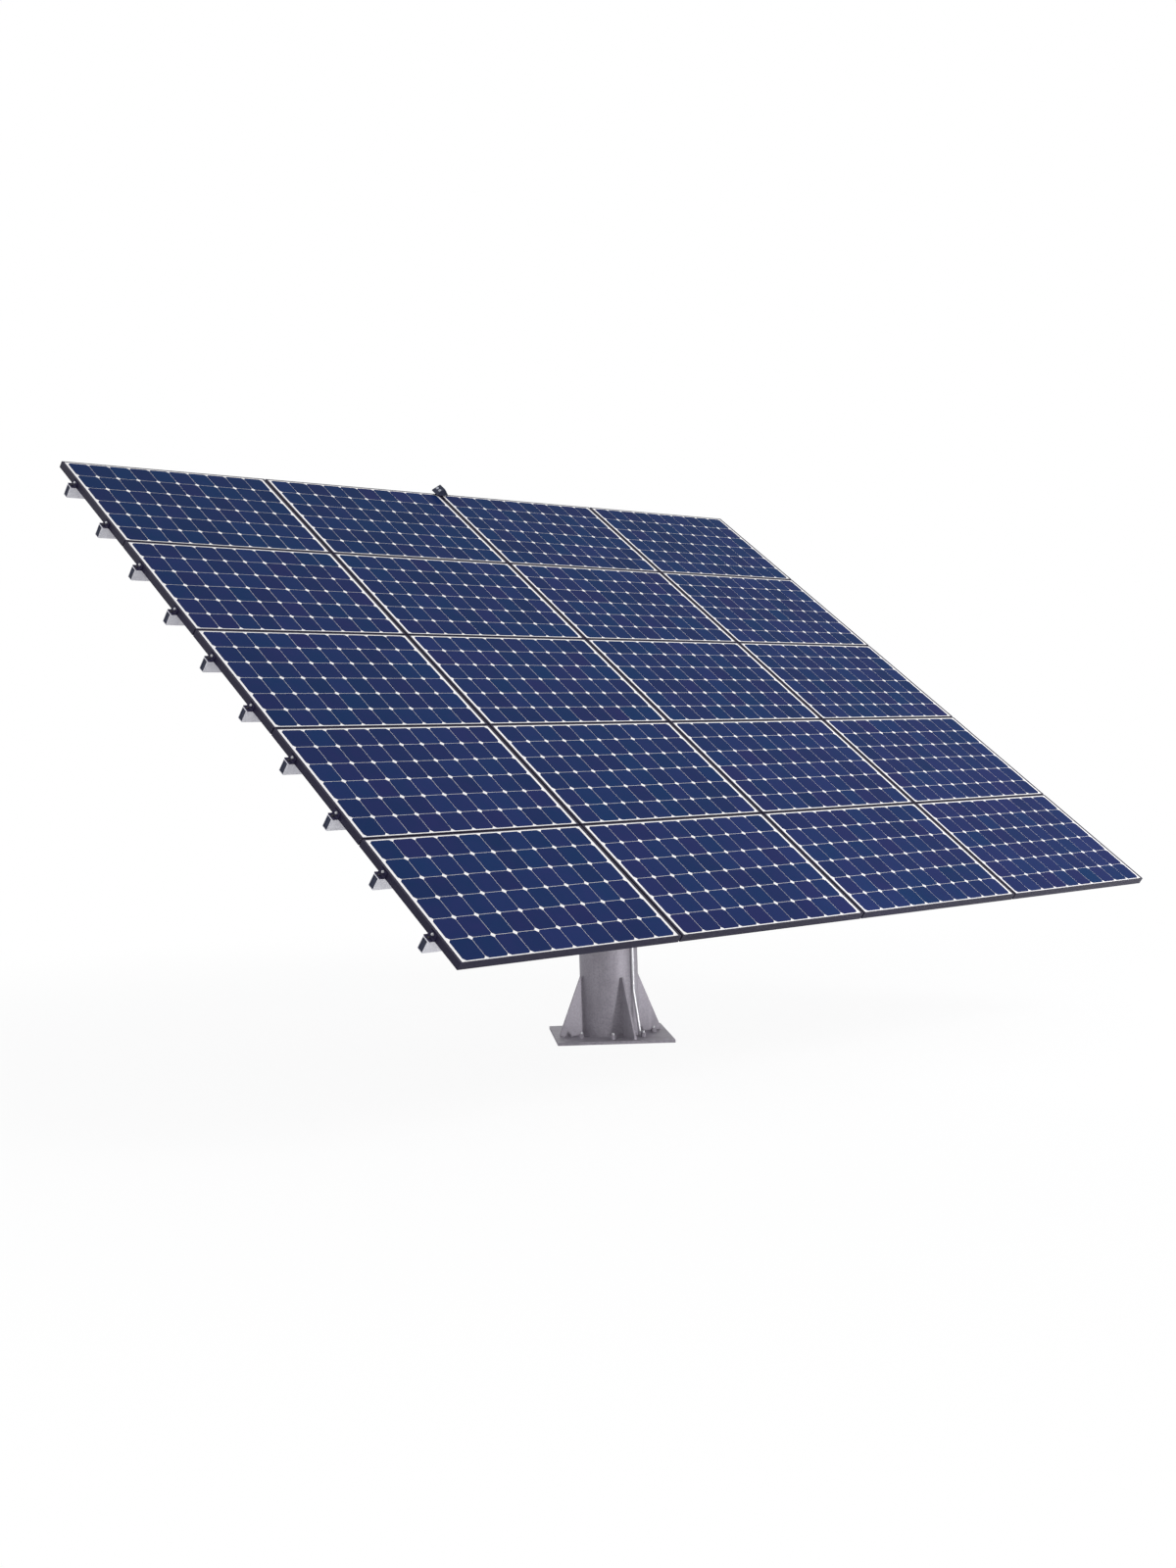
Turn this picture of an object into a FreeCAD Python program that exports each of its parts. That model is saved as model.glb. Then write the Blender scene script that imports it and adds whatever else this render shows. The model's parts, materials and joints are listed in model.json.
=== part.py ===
import FreeCAD, Part
import math
import os
import re
from Sketcher import Constraint

# Dual-axis solar tracker: twenty framed modules on a purlin table that tilts and turns on one pole.
# Millimetres and degrees. X runs along the module rows and Z is up. The array looks towards -Y.
# The origin is the centre of the base plate's underside, where it stands on its footing.
# Array pieces are drawn in the table's own frame, with u along X, w up the slope and n out of the
# glass, and its origin on the tilt axis. One placement then tilts and lifts them all.

SIZES = [
    # Foot and pole
    ("plate_side", 800.0),
    ("plate_thickness", 20.0),
    ("plate_angle", -40.0),
    ("anchor_circle", 600.0),
    ("anchor_hole", 22.0),
    ("anchor_angle", 2.5),
    ("pole_diameter", 406.4),
    ("pole_wall", 10.0),
    ("pole_length", 1613.0),
    ("gusset_height", 400.0),
    ("gusset_reach", 182.0),
    ("gusset_thickness", 15.0),
    ("gusset_toe", 22.0),
    ("gusset_crown", 18.0),
    ("gusset_snipe", 20.0),
    ("gusset_angle", -20.0),
    ("pole_flange_diameter", 520.0),
    ("pole_flange_thickness", 30.0),
    # Cable conduit up the pole
    ("conduit_diameter", 20.0),
    ("conduit_wall", 2.0),
    ("conduit_angle", -86.0),
    ("conduit_standoff", 5.0),
    ("conduit_foot_offset", 44.0),
    ("conduit_foot_height", 40.0),
    ("conduit_slant_height", 260.0),
    ("conduit_entry_drop", 173.0),
    ("conduit_bend", 110.0),
    ("conduit_elbow_diameter", 28.0),
    ("conduit_elbow_length", 40.0),
    ("clip_width", 64.0),
    ("clip_height", 20.0),
    ("clip_strap", 4.0),
    ("clip_first_height", 640.0),
    ("clip_last_drop", 80.0),
    # Slewing drive on the pole top
    ("azimuth_ring_diameter", 390.0),
    ("azimuth_ring_bore", 300.0),
    ("drive_running_gap", 0.3),
    ("drive_face_gap", 6.0),
    ("azimuth_housing_diameter", 520.0),
    ("azimuth_housing_height", 130.0),
    ("turntable_thickness", 25.0),
    ("worm_tunnel_diameter", 124.0),
    ("worm_tunnel_length", 420.0),
    ("worm_cover_diameter", 108.0),
    ("worm_cover_thickness", 14.0),
    ("housing_chamfer", 8.0),
    ("azimuth_worm_offset", 275.0),
    ("tilt_ring_diameter", 300.0),
    ("tilt_ring_bore", 200.0),
    ("tilt_housing_diameter", 450.0),
    ("tilt_housing_width", 130.0),
    ("tilt_worm_offset", 250.0),
    ("foot_block_width", 220.0),
    ("foot_block_length", 340.0),
    ("foot_block_top", 250.0),
    ("foot_block_height", 96.0),
    ("motor_flange_diameter", 118.0),
    ("motor_flange_thickness", 16.0),
    ("gearbox_diameter", 92.0),
    ("gearbox_length", 170.0),
    ("motor_diameter", 78.0),
    ("motor_length", 120.0),
    ("motor_cap_length", 18.0),
    # Torque tube and rafters
    ("torque_tube_diameter", 273.0),
    ("torque_tube_wall", 8.0),
    ("tube_overhang", 130.0),
    ("tube_end_plate", 8.0),
    ("tube_flange_diameter", 350.0),
    ("tube_flange_thickness", 20.0),
    ("saddle_crown", 8.0),
    ("saddle_depth", 96.0),
    ("saddle_margin", 24.0),
    ("saddle_lap", 20.0),
    ("seat_gap", 0.3),
    ("rafter_depth", 160.0),
    ("rafter_width", 80.0),
    ("rafter_wall", 5.0),
    ("rafter_overhang", 82.0),
    ("rafter_cope", 100.0),
    # Purlins
    ("purlin_depth", 80.0),
    ("purlin_width", 45.0),
    ("purlin_wall", 2.5),
    ("purlin_overhang", 42.0),
    # Modules
    ("module_length", 1660.0),
    ("module_width", 984.0),
    ("frame_depth", 46.0),
    ("column_gap", 13.0),
    ("row_gap", 9.0),
    ("frame_wall", 3.0),
    ("frame_lip", 7.0),
    ("frame_lip_thickness", 2.0),
    ("frame_ledge_thickness", 2.5),
    ("frame_foot", 28.0),
    ("frame_foot_thickness", 2.5),
    ("mitre_gap", 0.3),
    ("laminate_thickness", 5.0),
    ("laminate_edge_gap", 0.3),
    ("junction_box_length", 130.0),
    ("junction_box_width", 100.0),
    ("junction_box_depth", 22.0),
    ("junction_box_inset", 170.0),
    ("junction_lid_margin", 9.0),
    ("junction_lid_thickness", 4.0),
    # Cleats, clamps and sensor
    ("cleat_leg", 55.0),
    ("cleat_wall", 5.0),
    ("cleat_length", 60.0),
    ("clamp_width", 58.0),
    ("clamp_wall", 5.0),
    ("clamp_foot", 36.0),
    ("clamp_leg", 38.0),
    ("clamp_corner", 8.0),
    ("sensor_width", 114.0),
    ("sensor_shoulder", 8.0),
    ("sensor_ridge", 50.0),
    ("sensor_depth", 70.0),
    ("sensor_lift", 12.0),
    ("sensor_setback", 40.0),
    ("sensor_bracket_width", 60.0),
    ("sensor_bracket_wall", 5.0),
    ("sensor_bracket_drop", 38.0),
    # Pose in which the part is drawn
    ("rest_tilt", 38.0),
]

# How many of each piece there are
COLUMNS = 4
ROWS = 5
PURLINS_PER_ROW = 2
ANCHORS = 8
GUSSETS = 4
CLIPS = 3

doc = FreeCAD.newDocument("SolarTracker")
sheet = doc.addObject("Spreadsheet::Sheet", "Sizes")
for row, (alias, size) in enumerate(SIZES, start=1):
    sheet.set("A%d" % row, alias)
    sheet.set("B%d" % row, str(size))
    sheet.setAlias("B%d" % row, alias)
doc.recompute()

ALIASES = {alias for alias, _ in SIZES}

# Heights and distances that follow from the sizes above, as formulas
POLE_TOP = "(plate_thickness + pole_length)"
FLANGE_TOP = "(%s + pole_flange_thickness)" % POLE_TOP
HOUSING_BASE = "(%s + drive_face_gap)" % FLANGE_TOP
TURNTABLE_BASE = "(%s + azimuth_housing_height)" % HOUSING_BASE
TURNTABLE_TOP = "(%s + turntable_thickness)" % TURNTABLE_BASE
TILT_AXIS = "(%s + tilt_worm_offset + worm_tunnel_diameter / 2)" % TURNTABLE_TOP
CONDUIT_RISE = "(pole_length - conduit_entry_drop)"
CLIP_PITCH = "((%s - clip_last_drop - clip_first_height) / %d)" % (CONDUIT_RISE, CLIPS - 1)
RAFTER_BASE = "(torque_tube_diameter / 2 + saddle_crown)"
PURLIN_BASE = "(%s + rafter_depth)" % RAFTER_BASE
FRAME_BASE = "(%s + purlin_depth)" % PURLIN_BASE
FRAME_TOP = "(%s + frame_depth)" % FRAME_BASE
LAMINATE_TOP = "(%s - frame_lip_thickness)" % FRAME_TOP
COLUMN_PITCH = "(module_length + column_gap)"
ROW_PITCH = "(module_width + row_gap)"
ARRAY_HALF_LENGTH = "((%d * %s - column_gap) / 2)" % (COLUMNS, COLUMN_PITCH)
ARRAY_HALF_WIDTH = "((%d * %s - row_gap) / 2)" % (ROWS, ROW_PITCH)
PURLIN_PITCH = "(%s / %d)" % (ROW_PITCH, PURLINS_PER_ROW)
PURLIN_COUNT = ROWS * PURLINS_PER_ROW
TUBE_START = "(tilt_housing_width / 2 + drive_face_gap)"
OUTER_RAFTER = "(%.1f * %s)" % ((COLUMNS - 1) / 2, COLUMN_PITCH)
TUBE_END = "(%s + rafter_width / 2 + tube_overhang)" % OUTER_RAFTER

pieces = []


def formula(text):
    """Write a formula in size names as one that reads the sheet."""
    return re.sub(r"[a-z_]+", lambda word: "Sizes." + word.group() if word.group() in ALIASES
                  else word.group(), text)


def value(text):
    """Work out a formula in size names."""
    return float(sheet.evalExpression(formula(text)))


def bind(item, prop, text):
    """Tie one property of an object to a formula in size names."""
    item.setExpression(prop, formula(text))


def place(item, x="0", y="0", z="0", axis=(0, 0, 1), angle="0"):
    """Place an object by formulas, turned about one axis."""
    turn = FreeCAD.Rotation(FreeCAD.Vector(*axis), value(angle))
    item.Placement = FreeCAD.Placement(FreeCAD.Vector(value(x), value(y), value(z)), turn)
    for prop, text in (("Base.x", x), ("Base.y", y), ("Base.z", z)):
        if text != "0":
            bind(item, "Placement." + prop, text)
    if any(word in ALIASES for word in re.findall(r"[a-z_]+", angle)):
        bind(item, "Placement.Rotation.Angle", angle)


def keep(item, node):
    """Name a finished sub-part."""
    item.Label = node
    pieces.append(item)
    return item


def on_table(item):
    """Tilt a piece of the table and lift it to the tilt axis."""
    place(item, z=TILT_AXIS, axis=(1, 0, 0), angle="rest_tilt")


def origin_feature(body, role):
    """Find one of a body's own origin planes or axes."""
    return [item for item in body.Origin.OriginFeatures if item.Role == role][0]


def new_body(name):
    """Start a body of several features."""
    return doc.addObject("PartDesign::Body", name)


def new_sketch(body, name, plane):
    """Attach a sketch to one of the body's origin planes."""
    sketch = body.newObject("Sketcher::SketchObject", name)
    sketch.AttachmentSupport = [(origin_feature(body, plane), "")]
    sketch.MapMode = "FlatFace"
    return sketch


def outline(sketch, points):
    """Draw a closed outline whose corners follow formulas for their two coordinates."""
    corners = [FreeCAD.Vector(value(across), value(up), 0) for across, up in points]
    lines = []
    for start, end in zip(corners, corners[1:] + corners[:1]):
        lines.append(sketch.addGeometry(Part.LineSegment(start, end)))
    for line, following in zip(lines, lines[1:] + lines[:1]):
        sketch.addConstraint(Constraint("Coincident", line, 2, following, 1))
    for line, (across, up) in zip(lines, points):
        for kind, text in (("DistanceX", across), ("DistanceY", up)):
            number = sketch.addConstraint(Constraint(kind, -1, 1, line, 1, value(text)))
            bind(sketch, "Constraints[%d]" % number, text)


def circle(sketch, radius, across="0", up="0"):
    """Draw a circle whose centre and radius follow formulas."""
    centre = FreeCAD.Vector(value(across), value(up), 0)
    ring = sketch.addGeometry(Part.Circle(centre, FreeCAD.Vector(0, 0, 1), value(radius)))
    number = sketch.addConstraint(Constraint("Radius", ring, value(radius)))
    bind(sketch, "Constraints[%d]" % number, radius)
    for kind, text in (("DistanceX", across), ("DistanceY", up)):
        number = sketch.addConstraint(Constraint(kind, -1, 1, ring, 3, value(text)))
        bind(sketch, "Constraints[%d]" % number, text)


def pad(body, sketch, length, symmetric=False, upwards=True):
    """Give a sketch its depth."""
    feature = body.newObject("PartDesign::Pad", sketch.Name + "_pad")
    feature.Profile = sketch
    bind(feature, "Length", length)
    feature.SideType = "Symmetric" if symmetric else "One side"
    feature.Reversed = not upwards
    body.Tip = feature
    return feature


def pocket(body, sketch, length):
    """Cut a sketch away to both sides of its plane."""
    feature = body.newObject("PartDesign::Pocket", sketch.Name + "_cut")
    feature.Profile = sketch
    bind(feature, "Length", length)
    feature.SideType = "Symmetric"
    body.Tip = feature
    return feature


def revolve(body, sketch, role):
    """Turn a sketch about one of the body's axes."""
    feature = body.newObject("PartDesign::Revolution", sketch.Name + "_turned")
    feature.Profile = sketch
    feature.ReferenceAxis = (origin_feature(body, role), [""])
    feature.Angle = 360.0
    body.Tip = feature
    return feature


def polar(body, feature, count):
    """Repeat a feature evenly about the body's Z axis."""
    pattern = body.newObject("PartDesign::PolarPattern", feature.Name + "_round")
    pattern.Originals = [feature]
    pattern.Axis = (origin_feature(body, "Z_Axis"), [""])
    pattern.Angle = 360.0
    pattern.Occurrences = count
    body.Tip = pattern
    return pattern


def grid(body, features, across_count, across_pitch, up_count, up_pitch):
    """Repeat features along the body's X and Y axes."""
    pattern = body.newObject("PartDesign::LinearPattern", features[0].Name + "_grid")
    pattern.Originals = features
    pattern.Direction = (origin_feature(body, "X_Axis"), [""])
    bind(pattern, "Length", "%d * %s" % (across_count - 1, across_pitch))
    pattern.Occurrences = across_count
    if up_count > 1:
        pattern.Direction2 = (origin_feature(body, "Y_Axis"), [""])
        bind(pattern, "Length2", "%d * %s" % (up_count - 1, up_pitch))
        pattern.Occurrences2 = up_count
    body.Tip = pattern
    return pattern


def row_up(body, feature, count, pitch):
    """Repeat a feature along the body's Y axis."""
    pattern = body.newObject("PartDesign::LinearPattern", feature.Name + "_row")
    pattern.Originals = [feature]
    pattern.Direction = (origin_feature(body, "Y_Axis"), [""])
    bind(pattern, "Length", "%d * %s" % (count - 1, pitch))
    pattern.Occurrences = count
    body.Tip = pattern
    return pattern


def cylinder(name, radius, length, x="0", y="0", z="0", axis=(0, 0, 1), angle="0"):
    """Make a plain round bar along Z, turned about an axis and placed."""
    item = doc.addObject("Part::Cylinder", name)
    bind(item, "Radius", radius)
    bind(item, "Height", length)
    place(item, x, y, z, axis, angle)
    return item


def box(name, length, width, height, x, y, z):
    """Make a plain block from its low corner."""
    item = doc.addObject("Part::Box", name)
    bind(item, "Length", length)
    bind(item, "Width", width)
    bind(item, "Height", height)
    place(item, x, y, z)
    return item


def cut(name, base, tool):
    """Take one solid out of another."""
    item = doc.addObject("Part::Cut", name)
    item.Base = base
    item.Tool = tool
    return item


def fuse(name, members):
    """Join solids into one."""
    item = doc.addObject("Part::MultiFuse", name)
    item.Shapes = members
    item.Refine = True
    return item


def gather(name, members):
    """Keep separate solids together as one sub-part."""
    item = doc.addObject("Part::Compound", name)
    item.Links = members
    return item


def shaped(name, shape):
    """Hold a shape that is worked out directly from the sizes."""
    item = doc.addObject("Part::Feature", name)
    item.Shape = shape
    return item


def make_base_plate():
    """Square plate with its ring of anchor holes."""
    body = new_body("BasePlate")
    sketch = new_sketch(body, "PlateOutline", "XY_Plane")
    half = "plate_side / 2"
    outline(sketch, [("-" + half, "-" + half), (half, "-" + half), (half, half), ("-" + half, half)])
    plate = pad(body, sketch, "plate_thickness")
    doc.recompute()
    solid_volume = body.Shape.Volume
    hole = new_sketch(body, "AnchorHole", "XY_Plane")
    turn = "(anchor_angle - plate_angle)"
    circle(hole, "anchor_hole / 2", "anchor_circle / 2 * cos(%s * 1deg)" % turn,
           "anchor_circle / 2 * sin(%s * 1deg)" % turn)
    pocket = body.newObject("PartDesign::Pocket", "AnchorHoleCut")
    pocket.Profile = hole
    pocket.Type = "ThroughAll"
    pocket.Reversed = True
    body.Tip = pocket
    polar(body, pocket, ANCHORS)
    place(body, axis=(0, 0, 1), angle="plate_angle")
    doc.recompute()
    if body.Shape.Volume >= solid_volume:
        raise RuntimeError("the anchor holes cut nothing out of %s" % plate.Name)
    keep(body, "base_plate")


def make_pole():
    """Round pole with its top flange."""
    outer = cylinder("PoleOutside", "pole_diameter / 2", "pole_length", z="plate_thickness")
    inner = cylinder("PoleInside", "pole_diameter / 2 - pole_wall", "pole_length", z="plate_thickness")
    keep(cut("PoleTube", outer, inner), "pole_tube")
    flange = cylinder("PoleFlange", "pole_flange_diameter / 2", "pole_flange_thickness", z=POLE_TOP)
    keep(flange, "pole_flange")


def make_gussets():
    """Tapered plates between pole and base plate, sniped at the weld and blunt at toe and crown."""
    body = new_body("Gussets")
    sketch = new_sketch(body, "GussetOutline", "XZ_Plane")
    face = "pole_diameter / 2"
    outline(sketch, [
        (face + " + gusset_snipe", "plate_thickness"),
        (face + " + gusset_reach", "plate_thickness"),
        (face + " + gusset_reach", "plate_thickness + gusset_toe"),
        (face + " + gusset_crown", "plate_thickness + gusset_height"),
        (face, "plate_thickness + gusset_height"),
        (face, "plate_thickness + gusset_snipe"),
    ])
    gusset = pad(body, sketch, "gusset_thickness", symmetric=True)
    polar(body, gusset, GUSSETS)
    place(body, axis=(0, 0, 1), angle="gusset_angle")
    keep(body, "gussets")


def rounded_route(points, radius):
    """Straight runs through points in a plane, joined by tangent arcs of one radius."""
    edges = []
    start = points[0]
    for before, corner, after in zip(points, points[1:], points[2:]):
        to_before = (before - corner).normalize()
        to_after = (after - corner).normalize()
        half_turn = (math.pi - to_before.getAngle(to_after)) / 2
        reach = radius * math.tan(half_turn)
        inward = (to_before + to_after).normalize()
        middle = corner + inward * (radius / math.cos(half_turn) - radius)
        arc_start = corner + to_before * reach
        arc_end = corner + to_after * reach
        edges.append(Part.LineSegment(start, arc_start).toShape())
        edges.append(Part.Arc(arc_start, middle, arc_end).toShape())
        start = arc_end
    edges.append(Part.LineSegment(start, points[-1]).toShape())
    return Part.Wire(edges)


def make_conduit():
    """Pipe that rises beside the pole, kicked out at the foot and bent into the pole at the top."""
    radius = value("conduit_diameter / 2")
    pole_face = value("pole_diameter / 2")
    standing = pole_face + value("conduit_standoff") + radius
    foot = standing + value("conduit_foot_offset")
    low = value("plate_thickness")
    first = low + value("conduit_foot_height")
    second = first + value("conduit_slant_height")
    top = low + value(CONDUIT_RISE)
    entry = value("sqrt(pow(pole_diameter / 2; 2) - pow(conduit_diameter / 2; 2))") \
        - value("pole_wall / 2")
    elbow_length = value("conduit_elbow_length")
    elbow_base = FreeCAD.Vector(standing, 0, top - elbow_length / 2)
    route = rounded_route([FreeCAD.Vector(foot, 0, low), FreeCAD.Vector(foot, 0, first),
                           FreeCAD.Vector(standing, 0, second), elbow_base], value("conduit_bend"))
    rings = []
    for ring_radius in (radius, radius - value("conduit_wall")):
        ring = Part.Circle(FreeCAD.Vector(foot, 0, low), FreeCAD.Vector(0, 0, 1), ring_radius)
        rings.append(Part.Wire([ring.toShape()]))
    tubes = [route.makePipeShell([ring], True, False) for ring in rings]
    pipe = tubes[0].cut(tubes[1])
    elbow = Part.makeCylinder(value("conduit_elbow_diameter / 2"), elbow_length, elbow_base)
    spout_length = standing - entry
    spout = Part.makeCylinder(radius, spout_length, FreeCAD.Vector(entry, 0, top),
                              FreeCAD.Vector(1, 0, 0))
    pole = Part.makeCylinder(pole_face, 2 * top)
    body = pipe.fuse(elbow).fuse(spout).cut(pole).removeSplitter()
    item = shaped("Conduit", body.Solids[0])
    place(item, axis=(0, 0, 1), angle="conduit_angle")
    keep(item, "conduit")


def make_conduit_clips():
    """Saddle clips that hold the conduit off the pole."""
    clips = []
    centre = "(pole_diameter / 2 + conduit_standoff + conduit_diameter / 2)"
    for number in range(CLIPS):
        height = "plate_thickness + clip_first_height + %d * %s" % (number, CLIP_PITCH)
        block = box("ClipBlock%d" % number, "conduit_standoff + conduit_diameter + clip_strap + pole_wall",
                    "clip_width", "clip_height", "pole_diameter / 2 - pole_wall", "-clip_width / 2", height)
        passage = cylinder("ClipPassage%d" % number, "conduit_diameter / 2 + drive_running_gap",
                           "3 * clip_height", x=centre, z=height + " - clip_height")
        pole = cylinder("ClipSeat%d" % number, "pole_diameter / 2", "3 * clip_height",
                        z=height + " - clip_height")
        clips.append(cut("Clip%d" % number, cut("ClipBored%d" % number, block, passage), pole))
    item = gather("ConduitClips", clips)
    place(item, axis=(0, 0, 1), angle="conduit_angle")
    keep(item, "conduit_clips")


def make_drum(name, bore, radius, height):
    """Round housing with chamfered rims and a bore through it, standing on its own origin."""
    body = new_body(name)
    sketch = new_sketch(body, name + "Section", "XZ_Plane")
    outline(sketch, [
        (bore, "0"),
        (radius + " - housing_chamfer", "0"),
        (radius, "housing_chamfer"),
        (radius, height + " - housing_chamfer"),
        (radius + " - housing_chamfer", height),
        (bore, height),
    ])
    revolve(body, sketch, "Z_Axis")
    return body


def make_worm_tunnel(name, x, z):
    """Round tunnel for the worm, with a bearing cover on its front end."""
    tunnel = cylinder(name + "Tunnel", "worm_tunnel_diameter / 2", "worm_tunnel_length",
                      x=x, y="worm_tunnel_length / 2", z=z, axis=(1, 0, 0), angle="90")
    cover = cylinder(name + "Cover", "worm_cover_diameter / 2", "worm_cover_thickness",
                     x=x, y="-worm_tunnel_length / 2", z=z, axis=(1, 0, 0), angle="90")
    return [tunnel, cover]


def make_azimuth_drive():
    """Slewing ring bolted to the pole, the worm housing that turns round it, and the turntable."""
    ring_height = "azimuth_housing_height"
    outer = cylinder("AzimuthRingOutside", "azimuth_ring_diameter / 2", ring_height, z=FLANGE_TOP)
    inner = cylinder("AzimuthRingInside", "azimuth_ring_bore / 2", ring_height, z=FLANGE_TOP)
    keep(cut("AzimuthRing", outer, inner), "azimuth_ring")

    drum = make_drum("AzimuthDrum", "azimuth_ring_diameter / 2 + drive_running_gap",
                     "azimuth_housing_diameter / 2", "azimuth_housing_height")
    place(drum, z=HOUSING_BASE)
    tunnel = make_worm_tunnel("Azimuth", "-azimuth_worm_offset", HOUSING_BASE + " + azimuth_housing_height / 2")
    keep(fuse("AzimuthHousing", [drum] + tunnel), "azimuth_housing")

    turntable = cylinder("Turntable", "azimuth_housing_diameter / 2", "turntable_thickness",
                         z=TURNTABLE_BASE)
    keep(turntable, "turntable")


def make_motor(name, node, x, z):
    """Gear motor turned about its own axis, on the rear end of a worm tunnel."""
    body = new_body(name)
    sketch = new_sketch(body, name + "Profile", "XY_Plane")
    flange_end = "motor_flange_thickness"
    gearbox_end = flange_end + " + gearbox_length"
    motor_end = gearbox_end + " + motor_length"
    cap_end = motor_end + " + motor_cap_length"
    outline(sketch, [
        ("0", "0"),
        ("motor_flange_diameter / 2", "0"),
        ("motor_flange_diameter / 2", flange_end),
        ("gearbox_diameter / 2", flange_end),
        ("gearbox_diameter / 2", gearbox_end),
        ("motor_diameter / 2", gearbox_end),
        ("motor_diameter / 2", motor_end),
        ("motor_diameter / 2 - motor_cap_length / 2", cap_end),
        ("0", cap_end),
    ])
    revolve(body, sketch, "Y_Axis")
    place(body, x=x, y="worm_tunnel_length / 2", z=z)
    keep(body, node)


def make_tilt_drive():
    """Second slewing drive, on edge: its housing stands on the turntable and its ring tilts."""
    drum = make_drum("TiltDrum", "tilt_ring_diameter / 2 + drive_running_gap",
                     "tilt_housing_diameter / 2", "tilt_housing_width")
    place(drum, x="-tilt_housing_width / 2", axis=(0, 1, 0), angle="90")
    foot = new_body("TiltFoot")
    sketch = new_sketch(foot, "FootOutline", "YZ_Plane")
    base = "-tilt_worm_offset - worm_tunnel_diameter / 2"
    outline(sketch, [
        ("-foot_block_length / 2", base),
        ("foot_block_length / 2", base),
        ("foot_block_length / 2", base + " + turntable_thickness"),
        ("foot_block_top / 2", base + " + foot_block_height"),
        ("-foot_block_top / 2", base + " + foot_block_height"),
        ("-foot_block_length / 2", base + " + turntable_thickness"),
    ])
    pad(foot, sketch, "foot_block_width", symmetric=True)
    housing = fuse("TiltHousing", [drum, foot] + make_worm_tunnel("Tilt", "0", "-tilt_worm_offset"))
    place(housing, z=TILT_AXIS)
    keep(housing, "tilt_housing")

    start = "-" + TUBE_START
    outer = cylinder("TiltRingOutside", "tilt_ring_diameter / 2", "2 * " + TUBE_START,
                     x=start, axis=(0, 1, 0), angle="90")
    inner = cylinder("TiltRingInside", "tilt_ring_bore / 2", "2 * " + TUBE_START,
                     x=start, axis=(0, 1, 0), angle="90")
    ring = cut("TiltRing", outer, inner)
    on_table(ring)
    keep(ring, "tilt_ring")


def make_torque_tube(side, sign):
    """Half of the torque tube: flange at the drive, long tube and a plate over its far end."""
    body = new_body("TorqueTube" + side.title())
    sketch = new_sketch(body, "TubeProfile" + side.title(), "XZ_Plane")
    radius = "torque_tube_diameter / 2"
    bore = radius + " - torque_tube_wall"
    flange_end = TUBE_START + " + tube_flange_thickness"
    profile = [
        (TUBE_START, bore),
        (TUBE_START, "tube_flange_diameter / 2"),
        (flange_end, "tube_flange_diameter / 2"),
        (flange_end, radius),
        (TUBE_END, radius),
        (TUBE_END, "0"),
        (TUBE_END + " - tube_end_plate", "0"),
        (TUBE_END + " - tube_end_plate", bore),
    ]
    outline(sketch, [("%d * (%s)" % (sign, along), across) for along, across in profile])
    revolve(body, sketch, "X_Axis")
    on_table(body)
    keep(body, "torque_tube_" + side)


def rafter_lines():
    """Where each rafter lies along the rows, left to right: under the middle of each column."""
    return ["(%.1f * %s)" % (column - (COLUMNS - 1) / 2, COLUMN_PITCH) for column in range(COLUMNS)]


def make_rafters():
    """Box rafters up the slope, coped below at both ends, with welded angles that hold the purlins."""
    half_length = "((%d * %s) / 2 + rafter_overhang)" % (PURLIN_COUNT - 1, PURLIN_PITCH)
    for number, line in enumerate(rafter_lines(), start=1):
        body = new_body("Rafter%d" % number)
        sketch = new_sketch(body, "RafterSection%d" % number, "XZ_Plane")
        for inset in ("0", "rafter_wall"):
            left = "%s - rafter_width / 2 + %s" % (line, inset)
            right = "%s + rafter_width / 2 - %s" % (line, inset)
            low = "%s + %s" % (RAFTER_BASE, inset)
            high = "%s - %s" % (PURLIN_BASE, inset)
            outline(sketch, [(left, low), (right, low), (right, high), (left, high)])
        pad(body, sketch, "2 * " + half_length, symmetric=True)
        corners = new_sketch(body, "RafterCope%d" % number, "YZ_Plane")
        for sign in ("-", ""):
            outline(corners, [
                (sign + half_length, RAFTER_BASE),
                ("%s(%s - rafter_cope)" % (sign, half_length), RAFTER_BASE),
                (sign + half_length, RAFTER_BASE + " + rafter_cope"),
            ])
        bind(corners, "AttachmentOffset.Base.z", line)
        pocket(body, corners, "2 * rafter_width")
        section = new_sketch(body, "CleatSection%d" % number, "YZ_Plane")
        face = purlin_line(1) + " - purlin_width / 2"
        outline(section, [
            (face, PURLIN_BASE),
            (face, PURLIN_BASE + " + cleat_leg"),
            (face + " - cleat_wall", PURLIN_BASE + " + cleat_leg"),
            (face + " - cleat_wall", PURLIN_BASE + " + cleat_wall"),
            (face + " - cleat_leg", PURLIN_BASE + " + cleat_wall"),
            (face + " - cleat_leg", PURLIN_BASE),
        ])
        bind(section, "AttachmentOffset.Base.z", line)
        cleat = pad(body, section, "cleat_length", symmetric=True)
        row_up(body, cleat, PURLIN_COUNT, PURLIN_PITCH)
        on_table(body)
        keep(body, "rafter_%d" % number)


def make_saddles():
    """Blocks with a round seat that carry each rafter on the torque tube."""
    saddles = []
    length = "(rafter_width + 2 * saddle_lap)"
    width = "(torque_tube_diameter + 2 * saddle_margin)"
    for number, line in enumerate(rafter_lines(), start=1):
        block = box("SaddleBlock%d" % number, length, width, "saddle_depth + saddle_crown",
                    "%s - %s / 2" % (line, length), "-%s / 2" % width,
                    RAFTER_BASE + " - saddle_depth - saddle_crown")
        seat = cylinder("SaddleSeat%d" % number, "torque_tube_diameter / 2 + seat_gap", length,
                        x="%s - %s / 2" % (line, length), axis=(0, 1, 0), angle="90")
        saddles.append(cut("Saddle%d" % number, block, seat))
    item = gather("Saddles", saddles)
    on_table(item)
    keep(item, "rafter_saddles")


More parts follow.
